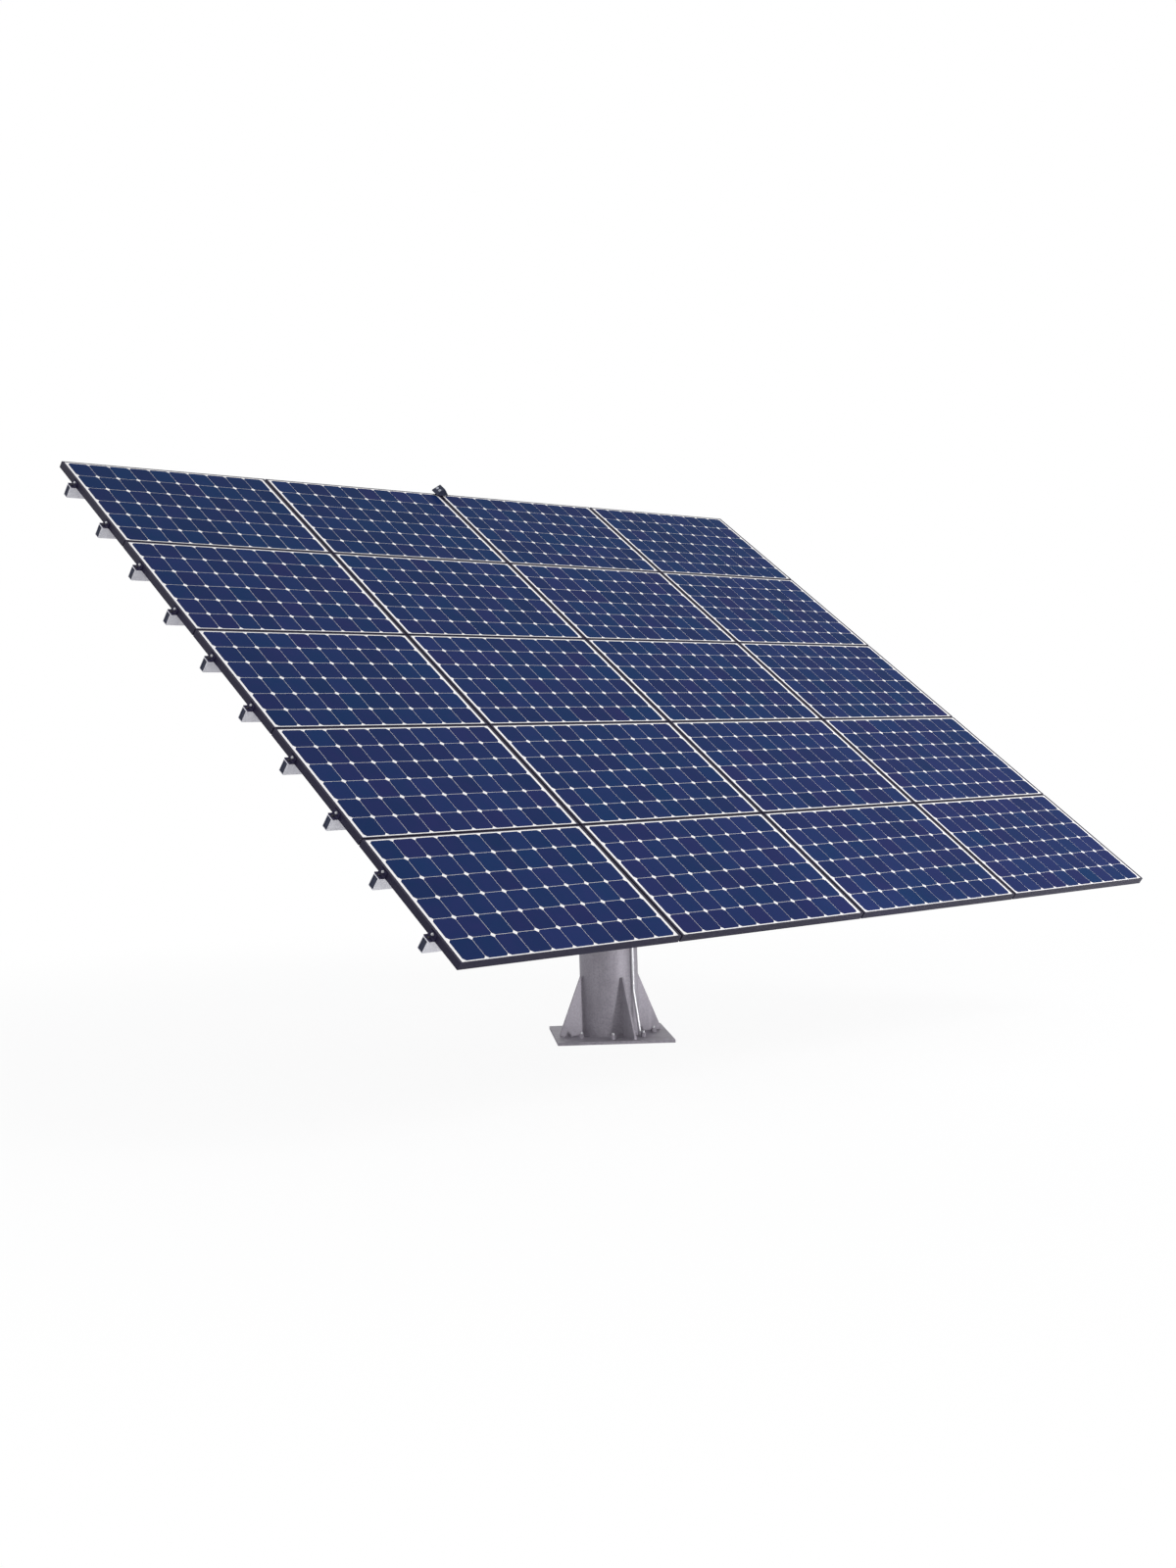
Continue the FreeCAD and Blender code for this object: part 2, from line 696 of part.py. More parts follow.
def purlin_line(number):
    """How far up the slope a purlin's centre lies, counted from 1 at the bottom."""
    return "(%.1f * %s)" % (number - (PURLIN_COUNT + 1) / 2, PURLIN_PITCH)


def make_purlins():
    """Rectangular tubes along the rows, open at both ends."""
    for number in range(1, PURLIN_COUNT + 1):
        body = new_body("Purlin%02d" % number)
        sketch = new_sketch(body, "PurlinSection%02d" % number, "YZ_Plane")
        for inset in ("0", "purlin_wall"):
            down = "%s - purlin_width / 2 + %s" % (purlin_line(number), inset)
            up = "%s + purlin_width / 2 - %s" % (purlin_line(number), inset)
            low = "%s + %s" % (PURLIN_BASE, inset)
            high = "%s - %s" % (FRAME_BASE, inset)
            outline(sketch, [(down, low), (up, low), (up, high), (down, high)])
        pad(body, sketch, "2 * (%s + purlin_overhang)" % ARRAY_HALF_LENGTH, symmetric=True)
        on_table(body)
        keep(body, "purlin_%02d" % number)


def mitred_bar(length, profile):
    """Straight bar of one profile, outer face at y = 0, its ends cut back 45 degrees inwards."""
    ends = []
    for side in (-1, 1):
        corners = [FreeCAD.Vector(side * (length / 2 - inset), inset, up) for inset, up in profile]
        ends.append(Part.makePolygon(corners + corners[:1]))
    return Part.makeLoft(ends, True, True)


def module_frame():
    """Four mitred bars round one module, centred on it, from the frame's underside up."""
    depth = value("frame_depth")
    wall = value("frame_wall")
    lip = value("frame_lip")
    lip_base = depth - value("frame_lip_thickness")
    ledge_top = lip_base - value("laminate_thickness")
    ledge_base = ledge_top - value("frame_ledge_thickness")
    foot = value("frame_foot")
    foot_top = value("frame_foot_thickness")
    profile = [(0, 0), (foot, 0), (foot, foot_top), (wall, foot_top), (wall, ledge_base),
               (lip, ledge_base), (lip, ledge_top), (wall, ledge_top), (wall, lip_base),
               (lip, lip_base), (lip, depth), (0, depth)]
    length = value("module_length")
    width = value("module_width")
    gap = value("mitre_gap")
    bars = []
    for quarter, (bar_length, distance) in enumerate([(length, width / 2), (width, length / 2)] * 2):
        bar = mitred_bar(bar_length - gap, profile)
        bar.translate(FreeCAD.Vector(0, -distance, 0))
        bar.rotate(FreeCAD.Vector(0, 0, 0), FreeCAD.Vector(0, 0, 1), 90 * quarter)
        bars.append(bar)
    return Part.makeCompound(bars)


def make_module_rows():
    """Framed modules, one row after another from the bottom up: bars first, then laminates."""
    frame = module_frame()
    base = value(FRAME_BASE)
    for row in range(ROWS):
        up = "(%.1f * %s)" % (row - (ROWS - 1) / 2, ROW_PITCH)
        first = "(-%.1f * %s)" % ((COLUMNS - 1) / 2, COLUMN_PITCH)
        frames = []
        for column in range(COLUMNS):
            copy = frame.copy()
            along = value(first) + column * value(COLUMN_PITCH)
            copy.translate(FreeCAD.Vector(along, value(up), base))
            frames.extend(copy.Solids)
        item = shaped("FrameRow%d" % (row + 1), Part.makeCompound(frames))
        on_table(item)
        keep(item, "frame_row_%d" % (row + 1))

        half_length = "(module_length / 2 - frame_wall - laminate_edge_gap)"
        half_width = "(module_width / 2 - frame_wall - laminate_edge_gap)"
        body = new_body("LaminateRow%d" % (row + 1))
        sketch = new_sketch(body, "LaminateOutline%d" % (row + 1), "XY_Plane")
        left = "%s - %s" % (first, half_length)
        right = "%s + %s" % (first, half_length)
        low = "%s - %s" % (up, half_width)
        high = "%s + %s" % (up, half_width)
        outline(sketch, [(left, low), (right, low), (right, high), (left, high)])
        bind(sketch, "AttachmentOffset.Base.z", LAMINATE_TOP + " - laminate_thickness")
        sheet_pad = pad(body, sketch, "laminate_thickness")
        grid(body, [sheet_pad], COLUMNS, COLUMN_PITCH, 1, ROW_PITCH)
        on_table(body)
        keep(body, "laminate_row_%d" % (row + 1))


def make_junction_boxes():
    """One box of bypass diodes behind each laminate, near its upper edge."""
    body = new_body("JunctionBoxes")
    sketch = new_sketch(body, "JunctionBoxOutline", "XY_Plane")
    first = "(-%.1f * %s)" % ((COLUMNS - 1) / 2, COLUMN_PITCH)
    row_centre = "(-%.1f * %s)" % ((ROWS - 1) / 2, ROW_PITCH)
    high = row_centre + " + module_width / 2 - junction_box_inset"
    low = high + " - junction_box_width"
    left = first + " - junction_box_length / 2"
    right = first + " + junction_box_length / 2"
    outline(sketch, [(left, low), (right, low), (right, high), (left, high)])
    bind(sketch, "AttachmentOffset.Base.z", LAMINATE_TOP + " - laminate_thickness")
    block = pad(body, sketch, "junction_box_depth", upwards=False)
    lid_sketch = new_sketch(body, "JunctionBoxLid", "XY_Plane")
    inset = "junction_lid_margin"
    outline(lid_sketch, [
        ("%s + %s" % (left, inset), "%s + %s" % (low, inset)),
        ("%s - %s" % (right, inset), "%s + %s" % (low, inset)),
        ("%s - %s" % (right, inset), "%s - %s" % (high, inset)),
        ("%s + %s" % (left, inset), "%s - %s" % (high, inset)),
    ])
    bind(lid_sketch, "AttachmentOffset.Base.z", LAMINATE_TOP + " - laminate_thickness - junction_box_depth")
    lid = pad(body, lid_sketch, "junction_lid_thickness", upwards=False)
    grid(body, [block, lid], COLUMNS, COLUMN_PITCH, ROWS, ROW_PITCH)
    on_table(body)
    keep(body, "junction_boxes")


def make_end_clamps(side, sign):
    """Angles at the purlin ends: foot on the purlin, leg bolted to the frame's outer side."""
    body = new_body("EndClamps" + side.title())
    sketch = new_sketch(body, "EndClampSection" + side.title(), "XZ_Plane")
    leg = ARRAY_HALF_LENGTH + " + seat_gap"
    profile = [
        (leg, FRAME_BASE),
        (leg + " + clamp_foot", FRAME_BASE),
        (leg + " + clamp_foot", FRAME_BASE + " + clamp_wall"),
        (leg + " + clamp_wall + clamp_corner", FRAME_BASE + " + clamp_wall"),
        (leg + " + clamp_wall", FRAME_BASE + " + clamp_wall + clamp_corner"),
        (leg + " + clamp_wall", FRAME_BASE + " + clamp_leg"),
        (leg, FRAME_BASE + " + clamp_leg"),
    ]
    outline(sketch, [("%d * (%s)" % (sign, along), up) for along, up in profile])
    bind(sketch, "AttachmentOffset.Base.z", "-" + purlin_line(1))
    clamp = pad(body, sketch, "clamp_width", symmetric=True)
    row_up(body, clamp, PURLIN_COUNT, PURLIN_PITCH)
    on_table(body)
    keep(body, "end_clamps_" + side)


def make_sun_sensor():
    """Tent-shaped sensor on an angle bracket at the middle of the table's top edge."""
    edge = ARRAY_HALF_WIDTH
    seat = FRAME_TOP + " + sensor_lift"
    body = new_body("SunSensor")
    sketch = new_sketch(body, "SensorOutline", "XZ_Plane")
    half = "sensor_width / 2"
    outline(sketch, [
        ("-" + half, seat),
        (half, seat),
        (half, seat + " + sensor_shoulder"),
        ("0", seat + " + sensor_shoulder + sensor_ridge"),
        ("-" + half, seat + " + sensor_shoulder"),
    ])
    bind(sketch, "AttachmentOffset.Base.z", "-(%s - sensor_setback + sensor_depth / 2)" % edge)
    pad(body, sketch, "sensor_depth", symmetric=True)
    on_table(body)
    keep(body, "sun_sensor")

    bracket = new_body("SensorBracket")
    section = new_sketch(bracket, "BracketSection", "YZ_Plane")
    outer = edge + " + seat_gap"
    outline(section, [
        (outer, FRAME_TOP + " - sensor_bracket_drop"),
        (outer + " + sensor_bracket_wall", FRAME_TOP + " - sensor_bracket_drop"),
        (outer + " + sensor_bracket_wall", seat + " - sensor_bracket_wall"),
        (edge + " - sensor_setback + sensor_depth", seat + " - sensor_bracket_wall"),
        (edge + " - sensor_setback + sensor_depth", seat),
        (edge + " - sensor_setback", seat),
        (edge + " - sensor_setback", seat + " - sensor_bracket_wall"),
        (outer, seat + " - sensor_bracket_wall"),
    ])
    pad(bracket, section, "sensor_bracket_width", symmetric=True)
    on_table(bracket)
    keep(bracket, "sensor_bracket")


def check_model():
    """Stop if any feature failed or any sub-part is empty or broken."""
    for item in doc.Objects:
        if "Invalid" in item.State or "Error" in item.State:
            raise RuntimeError("%s is %s" % (item.Name, item.State))
    for item in pieces:
        if item.Shape.isNull() or not item.Shape.isValid() or not item.Shape.Solids:
            raise RuntimeError("%s has no sound solid" % item.Label)


def write_parts():
    """Write each sub-part to its own file."""
    os.makedirs("parts", exist_ok=True)
    for item in pieces:
        item.Shape.exportStep("parts/%s.step" % item.Label)


make_base_plate()
make_pole()
make_gussets()
make_conduit()
make_conduit_clips()
make_azimuth_drive()
make_motor("AzimuthMotor", "azimuth_motor", "-azimuth_worm_offset",
           HOUSING_BASE + " + azimuth_housing_height / 2")
make_tilt_drive()
make_motor("TiltMotor", "tilt_motor", "0", TILT_AXIS + " - tilt_worm_offset")
make_torque_tube("left", -1)
make_torque_tube("right", 1)
make_rafters()
make_saddles()
make_purlins()
make_module_rows()
make_junction_boxes()
make_end_clamps("left", -1)
make_end_clamps("right", 1)
make_sun_sensor()
doc.recompute()
check_model()
write_parts()
print("%d sub-parts, tilt axis at %.1f" % (len(pieces), value(TILT_AXIS)))
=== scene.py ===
"""Looks of a pole-mounted solar tracker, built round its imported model.

Laid out as an add-on. Run as a script, it registers its operators, makes every piece in order and
sets the stage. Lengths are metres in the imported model's frame. Pieces of the
table are worked out in the table's own frame: u along the module rows, w up the slope and n out of
the glass, from the tilt axis.
"""

import json
import math

import bpy
import numpy as np
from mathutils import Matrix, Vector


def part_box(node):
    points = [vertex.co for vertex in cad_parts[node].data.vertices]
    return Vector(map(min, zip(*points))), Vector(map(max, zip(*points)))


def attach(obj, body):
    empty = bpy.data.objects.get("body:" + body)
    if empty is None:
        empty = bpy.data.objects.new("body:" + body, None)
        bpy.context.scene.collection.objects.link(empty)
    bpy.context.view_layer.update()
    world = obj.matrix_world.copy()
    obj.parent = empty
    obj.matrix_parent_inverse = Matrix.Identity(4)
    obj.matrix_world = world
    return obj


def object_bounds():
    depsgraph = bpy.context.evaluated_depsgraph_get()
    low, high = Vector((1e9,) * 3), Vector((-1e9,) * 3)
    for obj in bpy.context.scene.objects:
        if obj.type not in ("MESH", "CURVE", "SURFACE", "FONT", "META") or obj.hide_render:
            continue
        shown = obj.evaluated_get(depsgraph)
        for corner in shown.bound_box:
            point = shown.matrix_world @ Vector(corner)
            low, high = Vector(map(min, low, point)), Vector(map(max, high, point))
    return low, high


bl_info = {
    "name": "Solar Tracker Finish",
    "version": (1, 0, 0),
    "blender": (4, 5, 0),
    "location": "3D View > Sidebar > Tracker",
    "description": "Cells, fasteners, welds and finishes of a pole-mounted solar tracker",
    "category": "Object",
}

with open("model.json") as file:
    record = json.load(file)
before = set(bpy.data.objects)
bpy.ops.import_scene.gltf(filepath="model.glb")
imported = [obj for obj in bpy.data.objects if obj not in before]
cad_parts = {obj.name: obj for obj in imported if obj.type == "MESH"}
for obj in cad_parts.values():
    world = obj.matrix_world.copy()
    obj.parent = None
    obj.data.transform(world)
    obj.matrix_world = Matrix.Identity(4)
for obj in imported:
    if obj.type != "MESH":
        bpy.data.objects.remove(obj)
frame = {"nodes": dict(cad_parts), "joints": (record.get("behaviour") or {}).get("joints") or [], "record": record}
CAD_BOX = [list(corner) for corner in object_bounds()]

CELLS_ALONG = 10
CELLS_UP = 6
NUT_SIDES = 6

# Fasteners: width over the flats, height, then the washer's width and height
HEAD_M16 = (0.024, 0.010, 0.030, 0.003)
HEAD_M12 = (0.019, 0.0075, 0.024, 0.0025)
HEAD_M8 = (0.013, 0.0065, 0.017, 0.002)
FLAT_HEAD_M8 = (0.013, 0.0055, 0.016, 0.0015)
COVER_HEAD_M8 = (0.013, 0.006, 0.017, 0.0015)
SCREW_M4 = (0.006, 0.002)
NUT_M12 = (0.019, 0.010)
ROD_M12 = 0.012

# Large soft lamps: name, place, width and the setting that holds the power
LAMPS = (
    ("key_lamp", (5.0, -10.5, 9.0), 7.0, "key_strength"),
    ("fill_lamp", (-11.0, -3.0, 5.0), 6.0, "fill_strength"),
    ("side_lamp", (7.5, -4.5, 1.6), 3.0, "side_strength"),
)
FOOT_LAMP_PLACE = (0.6, -9.3, 1.15)
FOOT_LAMP_TARGET = (0.0, 0.0, 0.30)
FOOT_LAMP_SPREAD = math.radians(11.0)


def middle(node):
    """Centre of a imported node's box."""
    low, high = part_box(node)
    return (np.array(low) + np.array(high)) / 2


def joint_height(name):
    """How high a joint's axis lies."""
    return [joint["pos_m"][2] for joint in frame["joints"] if joint["name"] == name][0]


PURLINS = sorted(name for name in frame["nodes"] if name.startswith("purlin_"))
RAFTERS = sorted(name for name in frame["nodes"]
                 if name.startswith("rafter_") and name[-1].isdigit())
LAMINATES = sorted(name for name in frame["nodes"] if name.startswith("laminate_row_"))
TILT_AXIS = joint_height("table_tilt")
TABLE_RISE = middle(PURLINS[-1]) - middle(PURLINS[0])
REST_TILT = math.atan2(TABLE_RISE[2], TABLE_RISE[1])
COSINE = math.cos(REST_TILT)
SINE = math.sin(REST_TILT)


def from_table(points):
    """Turn points (u, w, n) of the table by its tilt about X and lift them to the tilt axis."""
    u, w, n = np.moveaxis(np.asarray(points, float), -1, 0)
    return np.stack([u, w * COSINE - n * SINE, w * SINE + n * COSINE + TILT_AXIS], axis=-1)


def to_table(point):
    """Undo from_table for one point."""
    x, y, z = point
    rise = z - TILT_AXIS
    return np.array([x, y * COSINE + rise * SINE, rise * COSINE - y * SINE])


PURLIN_LINES = np.array([to_table(middle(name))[1] for name in PURLINS])
PURLIN_MIDDLE = to_table(middle(PURLINS[0]))[2]
ROW_LINES = np.array([to_table(middle(name))[1] for name in LAMINATES])
LAMINATE_MIDDLE = to_table(middle(LAMINATES[0]))[2]
COLUMN_LINES = np.array([middle(name)[0] for name in RAFTERS])
HALF_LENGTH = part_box("frame_row_1")[1][0]


def length_property(name, description, default):
    """Describe a length that a user may change."""
    return bpy.props.FloatProperty(name=name, description=description, default=default, min=0.0,
                                   unit="LENGTH", subtype="DISTANCE", precision=4)


def colour_property(name, description, default):
    """Describe a colour that a user may change."""
    return bpy.props.FloatVectorProperty(name=name, description=description, default=default,
                                         size=3, min=0.0, max=1.0, subtype="COLOR")


class TrackerSizes(bpy.types.PropertyGroup):
    """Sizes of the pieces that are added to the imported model"""

    cell_pitch: length_property("Cell Pitch", "Distance from one cell to the next", 0.159)
    cell_side: length_property("Cell Side", "Width of a cell over its flat sides", 0.1567)
    cell_corner: length_property("Cell Corner", "How far a cell's corner is cut back", 0.0165)
    cell_stand: length_property("Cell Stand", "Height of the cells over the laminate", 0.0003)
    purlin_depth: length_property("Purlin Depth", "Depth of the purlins", 0.080)
    purlin_width: length_property("Purlin Width", "Width of the purlins", 0.045)
    purlin_wall: length_property("Purlin Wall", "Wall of the purlins", 0.0025)
    module_length: length_property("Module Length", "Long side of one framed module", 1.660)
    module_width: length_property("Module Width", "Short side of one framed module", 0.984)
    frame_lip: length_property("Frame Lip", "Width of the lip that the packed frames have", 0.007)
    end_lip: length_property("End Lip", "Width of the lip over the short ends", 0.016)
    module_foot: length_property("Module Foot", "Width of the foot under a module's frame", 0.028)
    foot_thickness: length_property("Foot Thickness", "Thickness of that foot", 0.0025)
    frame_stand: length_property("Frame Stand", "Frame's top over the laminate's middle", 0.0045)
    seat_gap: length_property("Seat Gap", "Gap between pieces that sit together", 0.0003)
    cleat_wall: length_property("Cleat Wall", "Wall of the angles under the purlins", 0.005)
    clamp_wall: length_property("Clamp Wall", "Wall of the end clamps", 0.005)
    saddle_crown: length_property("Saddle Crown", "Saddles' top over the torque tube", 0.008)
    tube_diameter: length_property("Tube Diameter", "Outside of the torque tube", 0.273)
    tube_flange: length_property("Tube Flange", "Thickness of the tube's flanges", 0.020)
    face_gap: length_property("Face Gap", "Gap beside the turning rings", 0.006)
    motor_flange: length_property("Motor Flange", "Thickness of the motors' flanges", 0.016)
    gearbox_length: length_property("Gearbox Length", "Length of the motors' gearboxes", 0.170)
    pole_diameter: length_property("Pole Diameter", "Outside of the pole", 0.4064)
    plate_thickness: length_property("Plate Thickness", "Thickness of the base plate", 0.020)
    anchor_circle: length_property("Anchor Circle", "Pitch circle of the anchor rods", 0.600)
    anchor_rod: length_property("Anchor Rod", "Diameter of the anchor rods", 0.020)
    gusset_thickness: length_property("Gusset Thickness", "Thickness of the gussets", 0.015)
    gusset_reach: length_property("Gusset Reach", "How far the gussets stand out", 0.182)
    gusset_snipe: length_property("Gusset Snipe", "Corner cut off for the pole's weld", 0.020)
    gusset_turn: bpy.props.FloatProperty(
        name="Gusset Turn", description="Angle of the first gusset in degrees", default=-20.0)
    worm_front: length_property("Worm Front", "How far the worm covers reach forwards", 0.224)
    sensor_lift: length_property("Sensor Lift", "Sensor's foot over the frame", 0.012)
    sensor_shoulder: length_property("Sensor Shoulder", "Height of the sensor's sides", 0.008)
    sensor_ridge: length_property("Sensor Ridge", "Height of its ridge over its sides", 0.050)
    sensor_depth: length_property("Sensor Depth", "Length of the sensor's ridge", 0.070)
    sensor_setback: length_property("Sensor Setback", "Its front behind the table's edge", 0.040)
    weld_size: length_property("Weld Size", "Radius of the weld beads", 0.007)
    weld_ripple: length_property("Weld Ripple", "Length of one ripple of a weld bead", 0.008)


class TrackerColours(bpy.types.PropertyGroup):
    """Colours of the finishes"""

    galvanised: colour_property("Galvanised", "Weathered hot-dip zinc", (0.325, 0.304, 0.345))
    strip_zinc: colour_property("Strip Zinc", "Bright zinc of the purlins", (0.86, 0.855, 0.93))
    bright_zinc: colour_property("Bright Zinc", "Zinc of conduit and fasteners", (0.66, 0.66, 0.68))
    black_zinc: colour_property("Black Zinc", "Clamps' passivated bolts", (0.035, 0.034, 0.040))
    machined: colour_property("Machined", "Greased machined steel", (0.22, 0.22, 0.23))
    casting: colour_property("Casting", "Enamel of the drive castings", (0.16, 0.17, 0.185))
    motor: colour_property("Motor", "Paint of the gear motors", (0.035, 0.038, 0.042))
    anodised: colour_property("Anodised", "Black anodised module frames", (0.014, 0.012, 0.033))
    backsheet: colour_property("Backsheet", "White sheet behind the cells", (0.86, 0.84, 0.83))
    cell_cool: colour_property("Cool Cells", "Bluest cells", (0.005, 0.024, 0.084))
    cell_warm: colour_property("Warm Cells", "Most violet cells", (0.017, 0.022, 0.098))
    plastic: colour_property("Plastic", "Black housings", (0.013, 0.017, 0.040))
    lens: colour_property("Lens", "Light cells of the sun sensor", (0.32, 0.34, 0.40))


class TrackerStage(bpy.types.PropertyGroup):
    """Camera, lamps and floor"""

    camera_place: bpy.props.FloatVectorProperty(
        name="Camera Place", description="Where the camera stands", size=3,
        default=(-9.968, -9.728, 2.054), unit="LENGTH", subtype="TRANSLATION")
    camera_turn: bpy.props.FloatVectorProperty(
        name="Camera Turn", description="How the camera is turned", size=3,
        default=(math.radians(95.454), math.radians(1.425), math.radians(-41.646)),
        unit="ROTATION", subtype="EULER")
    camera_lens: bpy.props.FloatProperty(
        name="Camera Lens", description="Focal length in millimetres", default=44.833, min=1.0)
    camera_shift: bpy.props.FloatVectorProperty(
        name="Camera Shift", description="Sideways and upward shift of the view", size=2,
        default=(0.080, -0.1446))
    sky_strength: bpy.props.FloatProperty(
        name="Sky Strength", description="Even light from all round", default=0.72, min=0.0)
    key_strength: bpy.props.FloatProperty(
        name="Key Strength", description="Power of the large lamp on the right", default=900.0,
        min=0.0)
    fill_strength: bpy.props.FloatProperty(
        name="Fill Strength", description="Power of the large lamp on the left", default=45.0,
        min=0.0)
    side_strength: bpy.props.FloatProperty(
        name="Side Strength", description="Power of the low lamp on the right", default=120.0,
        min=0.0)
    foot_strength: bpy.props.FloatProperty(
        name="Foot Strength", description="Power of the narrow lamp on the foot", default=1650.0,
        min=0.0)
    floor_white: bpy.props.FloatProperty(
        name="Floor White", description="Share of plain white in the floor near the foot",
        default=0.92, min=0.0, max=1.0)
    floor_radius: length_property("Floor Radius", "Radius of the round floor", 60.0)
    floor_colour: colour_property("Floor", "Colour of the floor", (0.88, 0.88, 0.88))


# Shapes

def shell(rings):
    """Close a stack of rings into one shell.

    Point (i, j) is step j of ring i. Quads join neighbours both ways, and a fan round its mean
    point closes each end ring.
    """
    count, steps, _ = rings.shape
    index = np.arange(count * steps).reshape(count, steps)
    after = np.roll(index, -1, axis=1)
    quads = np.stack([index[:-1], after[:-1], after[1:], index[1:]], axis=-1).reshape(-1, 4)
    low = np.full(steps, count * steps)
    fans = np.concatenate([np.stack([after[0], index[0], low], axis=-1),
                           np.stack([index[-1], after[-1], low + 1], axis=-1)])
    ends = np.stack([rings[0].mean(axis=0), rings[-1].mean(axis=0)])
    return np.concatenate([rings.reshape(-1, 3), ends]), [quads, fans]


def turned(heights, radii):
    """Carry a profile round Z: radius r(i, j) at height h(i) and angle 2 pi j / steps."""
    radii = np.asarray(radii, float)
    angles = np.linspace(0, 2 * np.pi, radii.shape[1], endpoint=False)
    height = np.broadcast_to(np.asarray(heights, float)[:, None], radii.shape)
    return shell(np.stack([radii * np.cos(angles), radii * np.sin(angles), height], axis=-1))


def hexagon(across, steps):
    """Distance from a hexagon's middle to its edge: half its width over the cosine of the angle
    from the middle of the nearest side."""
    angles = np.linspace(0, 2 * np.pi, steps, endpoint=False)
    sixth = 2 * np.pi / NUT_SIDES
    return across / 2 / np.cos((angles + sixth / 2) % sixth - sixth / 2)


def hex_bolt(across, height, washer=0.0, washer_height=0.0, rod=0.0, rod_height=0.0, second=0.0):
    """Bolt head or nut on a washer, its rim cut round, with a rod and a thinner nut over it.

    The radius at each height is the washer's, then the hexagon's, then the smaller of hexagon and
    a circle, then the rod's.
    """
    steps = 2 * NUT_SIDES
    straight = 0.85
    circle = np.ones(steps)
    side = hexagon(across, steps)
    rim = np.minimum(side, across / 2 * 1.02)
    profile = []
    level = 0.0
    if washer:
        profile += [(0.0, washer / 2 * circle), (washer_height, washer / 2 * circle)]
        level = washer_height
    for nut_height in [height] + ([second] if second else []):
        profile += [(level, side), (level + straight * nut_height, side), (level + nut_height, rim)]
        level += nut_height
    if rod:
        profile += [(level, rod / 2 * circle), (level + rod_height * straight, rod / 2 * circle),
                    (level + rod_height, rod / 2 * 0.82 * circle)]
    return turned([height for height, _ in profile], [radii for _, radii in profile])


def pipe(path, radius, side=None, steps=8):
    """Round tube along a path: each ring is centre + r (side cos a + (tangent x side) sin a).

    The radius is one number or one for each point of the path, and side is across the whole path.
    """
    path = np.asarray(path, float)
    tangent = np.gradient(path, axis=0)
    tangent /= np.linalg.norm(tangent, axis=1, keepdims=True)
    if side is None:
        helper = np.array([1.0, 0, 0]) if abs(tangent[0][0]) < 0.8 else np.array([0, 0, 1.0])
        side = np.cross(tangent, helper)
        side /= np.linalg.norm(side, axis=1, keepdims=True)
    side = np.broadcast_to(np.asarray(side, float), path.shape)
    other = np.cross(tangent, side)
    angles = np.linspace(0, 2 * np.pi, steps, endpoint=False)[None, :, None]
    reach = np.broadcast_to(np.asarray(radius, float), (len(path),))[:, None, None]
    around = side[:, None] * np.cos(angles) + other[:, None] * np.sin(angles)
    return shell(path[:, None] + reach * around)


def weld(points, size, ripple):
    """Weld bead along a line or ring: a tube whose radius swells and shrinks once a ripple."""
    points = np.asarray(points, float)
    runs = np.concatenate([[0.0], np.cumsum(np.linalg.norm(np.diff(points, axis=0), axis=1))])
    count = max(4, int(round(runs[-1] / ripple)) * 3)
    along = np.linspace(0, runs[-1], count)
    path = np.stack([np.interp(along, runs, points[:, axis]) for axis in range(3)], axis=-1)
    radius = size * (1 + 0.09 * np.sin(2 * np.pi * along / ripple))
    return pipe(path, radius, steps=6)


def ring_path(radius, height, axis="z"):
    """Points of a ring round Z at a height, or round X at a distance along it."""
    angles = np.radians(np.linspace(0.0, 360.0, 97))
    round_it = np.stack([radius * np.cos(angles), radius * np.sin(angles)], axis=-1)
    level = np.full(len(angles), height)
    if axis == "x":
        return np.stack([level, round_it[:, 0], round_it[:, 1]], axis=-1)
    return np.stack([round_it[:, 0], round_it[:, 1], level], axis=-1)


def soft_block(size, power=6.0, steps=32):
    """Block with rounded edges: a superellipse of one power, drawn in near its top and bottom.

    The outline is a |cos a|^(2/p) and b |sin a|^(2/p) with their signs. The width at height h is
    (1 - |2h - 1|^p)^(1/p) of the whole, and never under half.
    """
    angles = np.linspace(0, 2 * np.pi, steps, endpoint=False)
    across = np.sign(np.cos(angles)) * np.abs(np.cos(angles)) ** (2 / power)
    up = np.sign(np.sin(angles)) * np.abs(np.sin(angles)) ** (2 / power)
    share = np.array([0, 0.02, 0.07, 0.16, 0.84, 0.93, 0.98, 1.0])
    narrowing = np.maximum((1 - np.abs(2 * share - 1) ** (power * 1.5)) ** (1 / power), 0.5)
    rings = np.stack([
        size[0] / 2 * across[None] * narrowing[:, None],
        size[1] / 2 * up[None] * narrowing[:, None],
        np.broadcast_to((size[2] * share)[:, None], (len(share), steps)),
    ], axis=-1)
    return shell(rings)


def rounded_plug(length, width, corner=0.003, steps=6):
    """Plug of rounded rectangles one over another: its skirt, its rim and its dished face.

    The outline sits at the corner's centre plus its radius times (cos a, sin a), with a from 0 to
    90 degrees in each quarter.
    """
    quarter = np.linspace(0, np.pi / 2, steps)
    skirt = ((0.002, -0.025), (0.0, -0.022), (0.0, -0.0006))
    face = ((0.0006, 0.0), (0.005, 0.0), (0.0075, -0.0025))
    rings = []
    for inset, level in skirt + face:
        points = []
        for number, (side, up) in enumerate(((1, 1), (-1, 1), (-1, -1), (1, -1))):
            angles = quarter + number * np.pi / 2
            radius = max(corner - inset, 0.0008)
            points.append(np.stack([
                side * (length / 2 - inset - radius) + radius * np.cos(angles),
                up * (width / 2 - inset - radius) + radius * np.sin(angles),
                np.full(steps, level)], axis=-1))
        rings.append(np.concatenate(points))
    return shell(np.stack(rings))


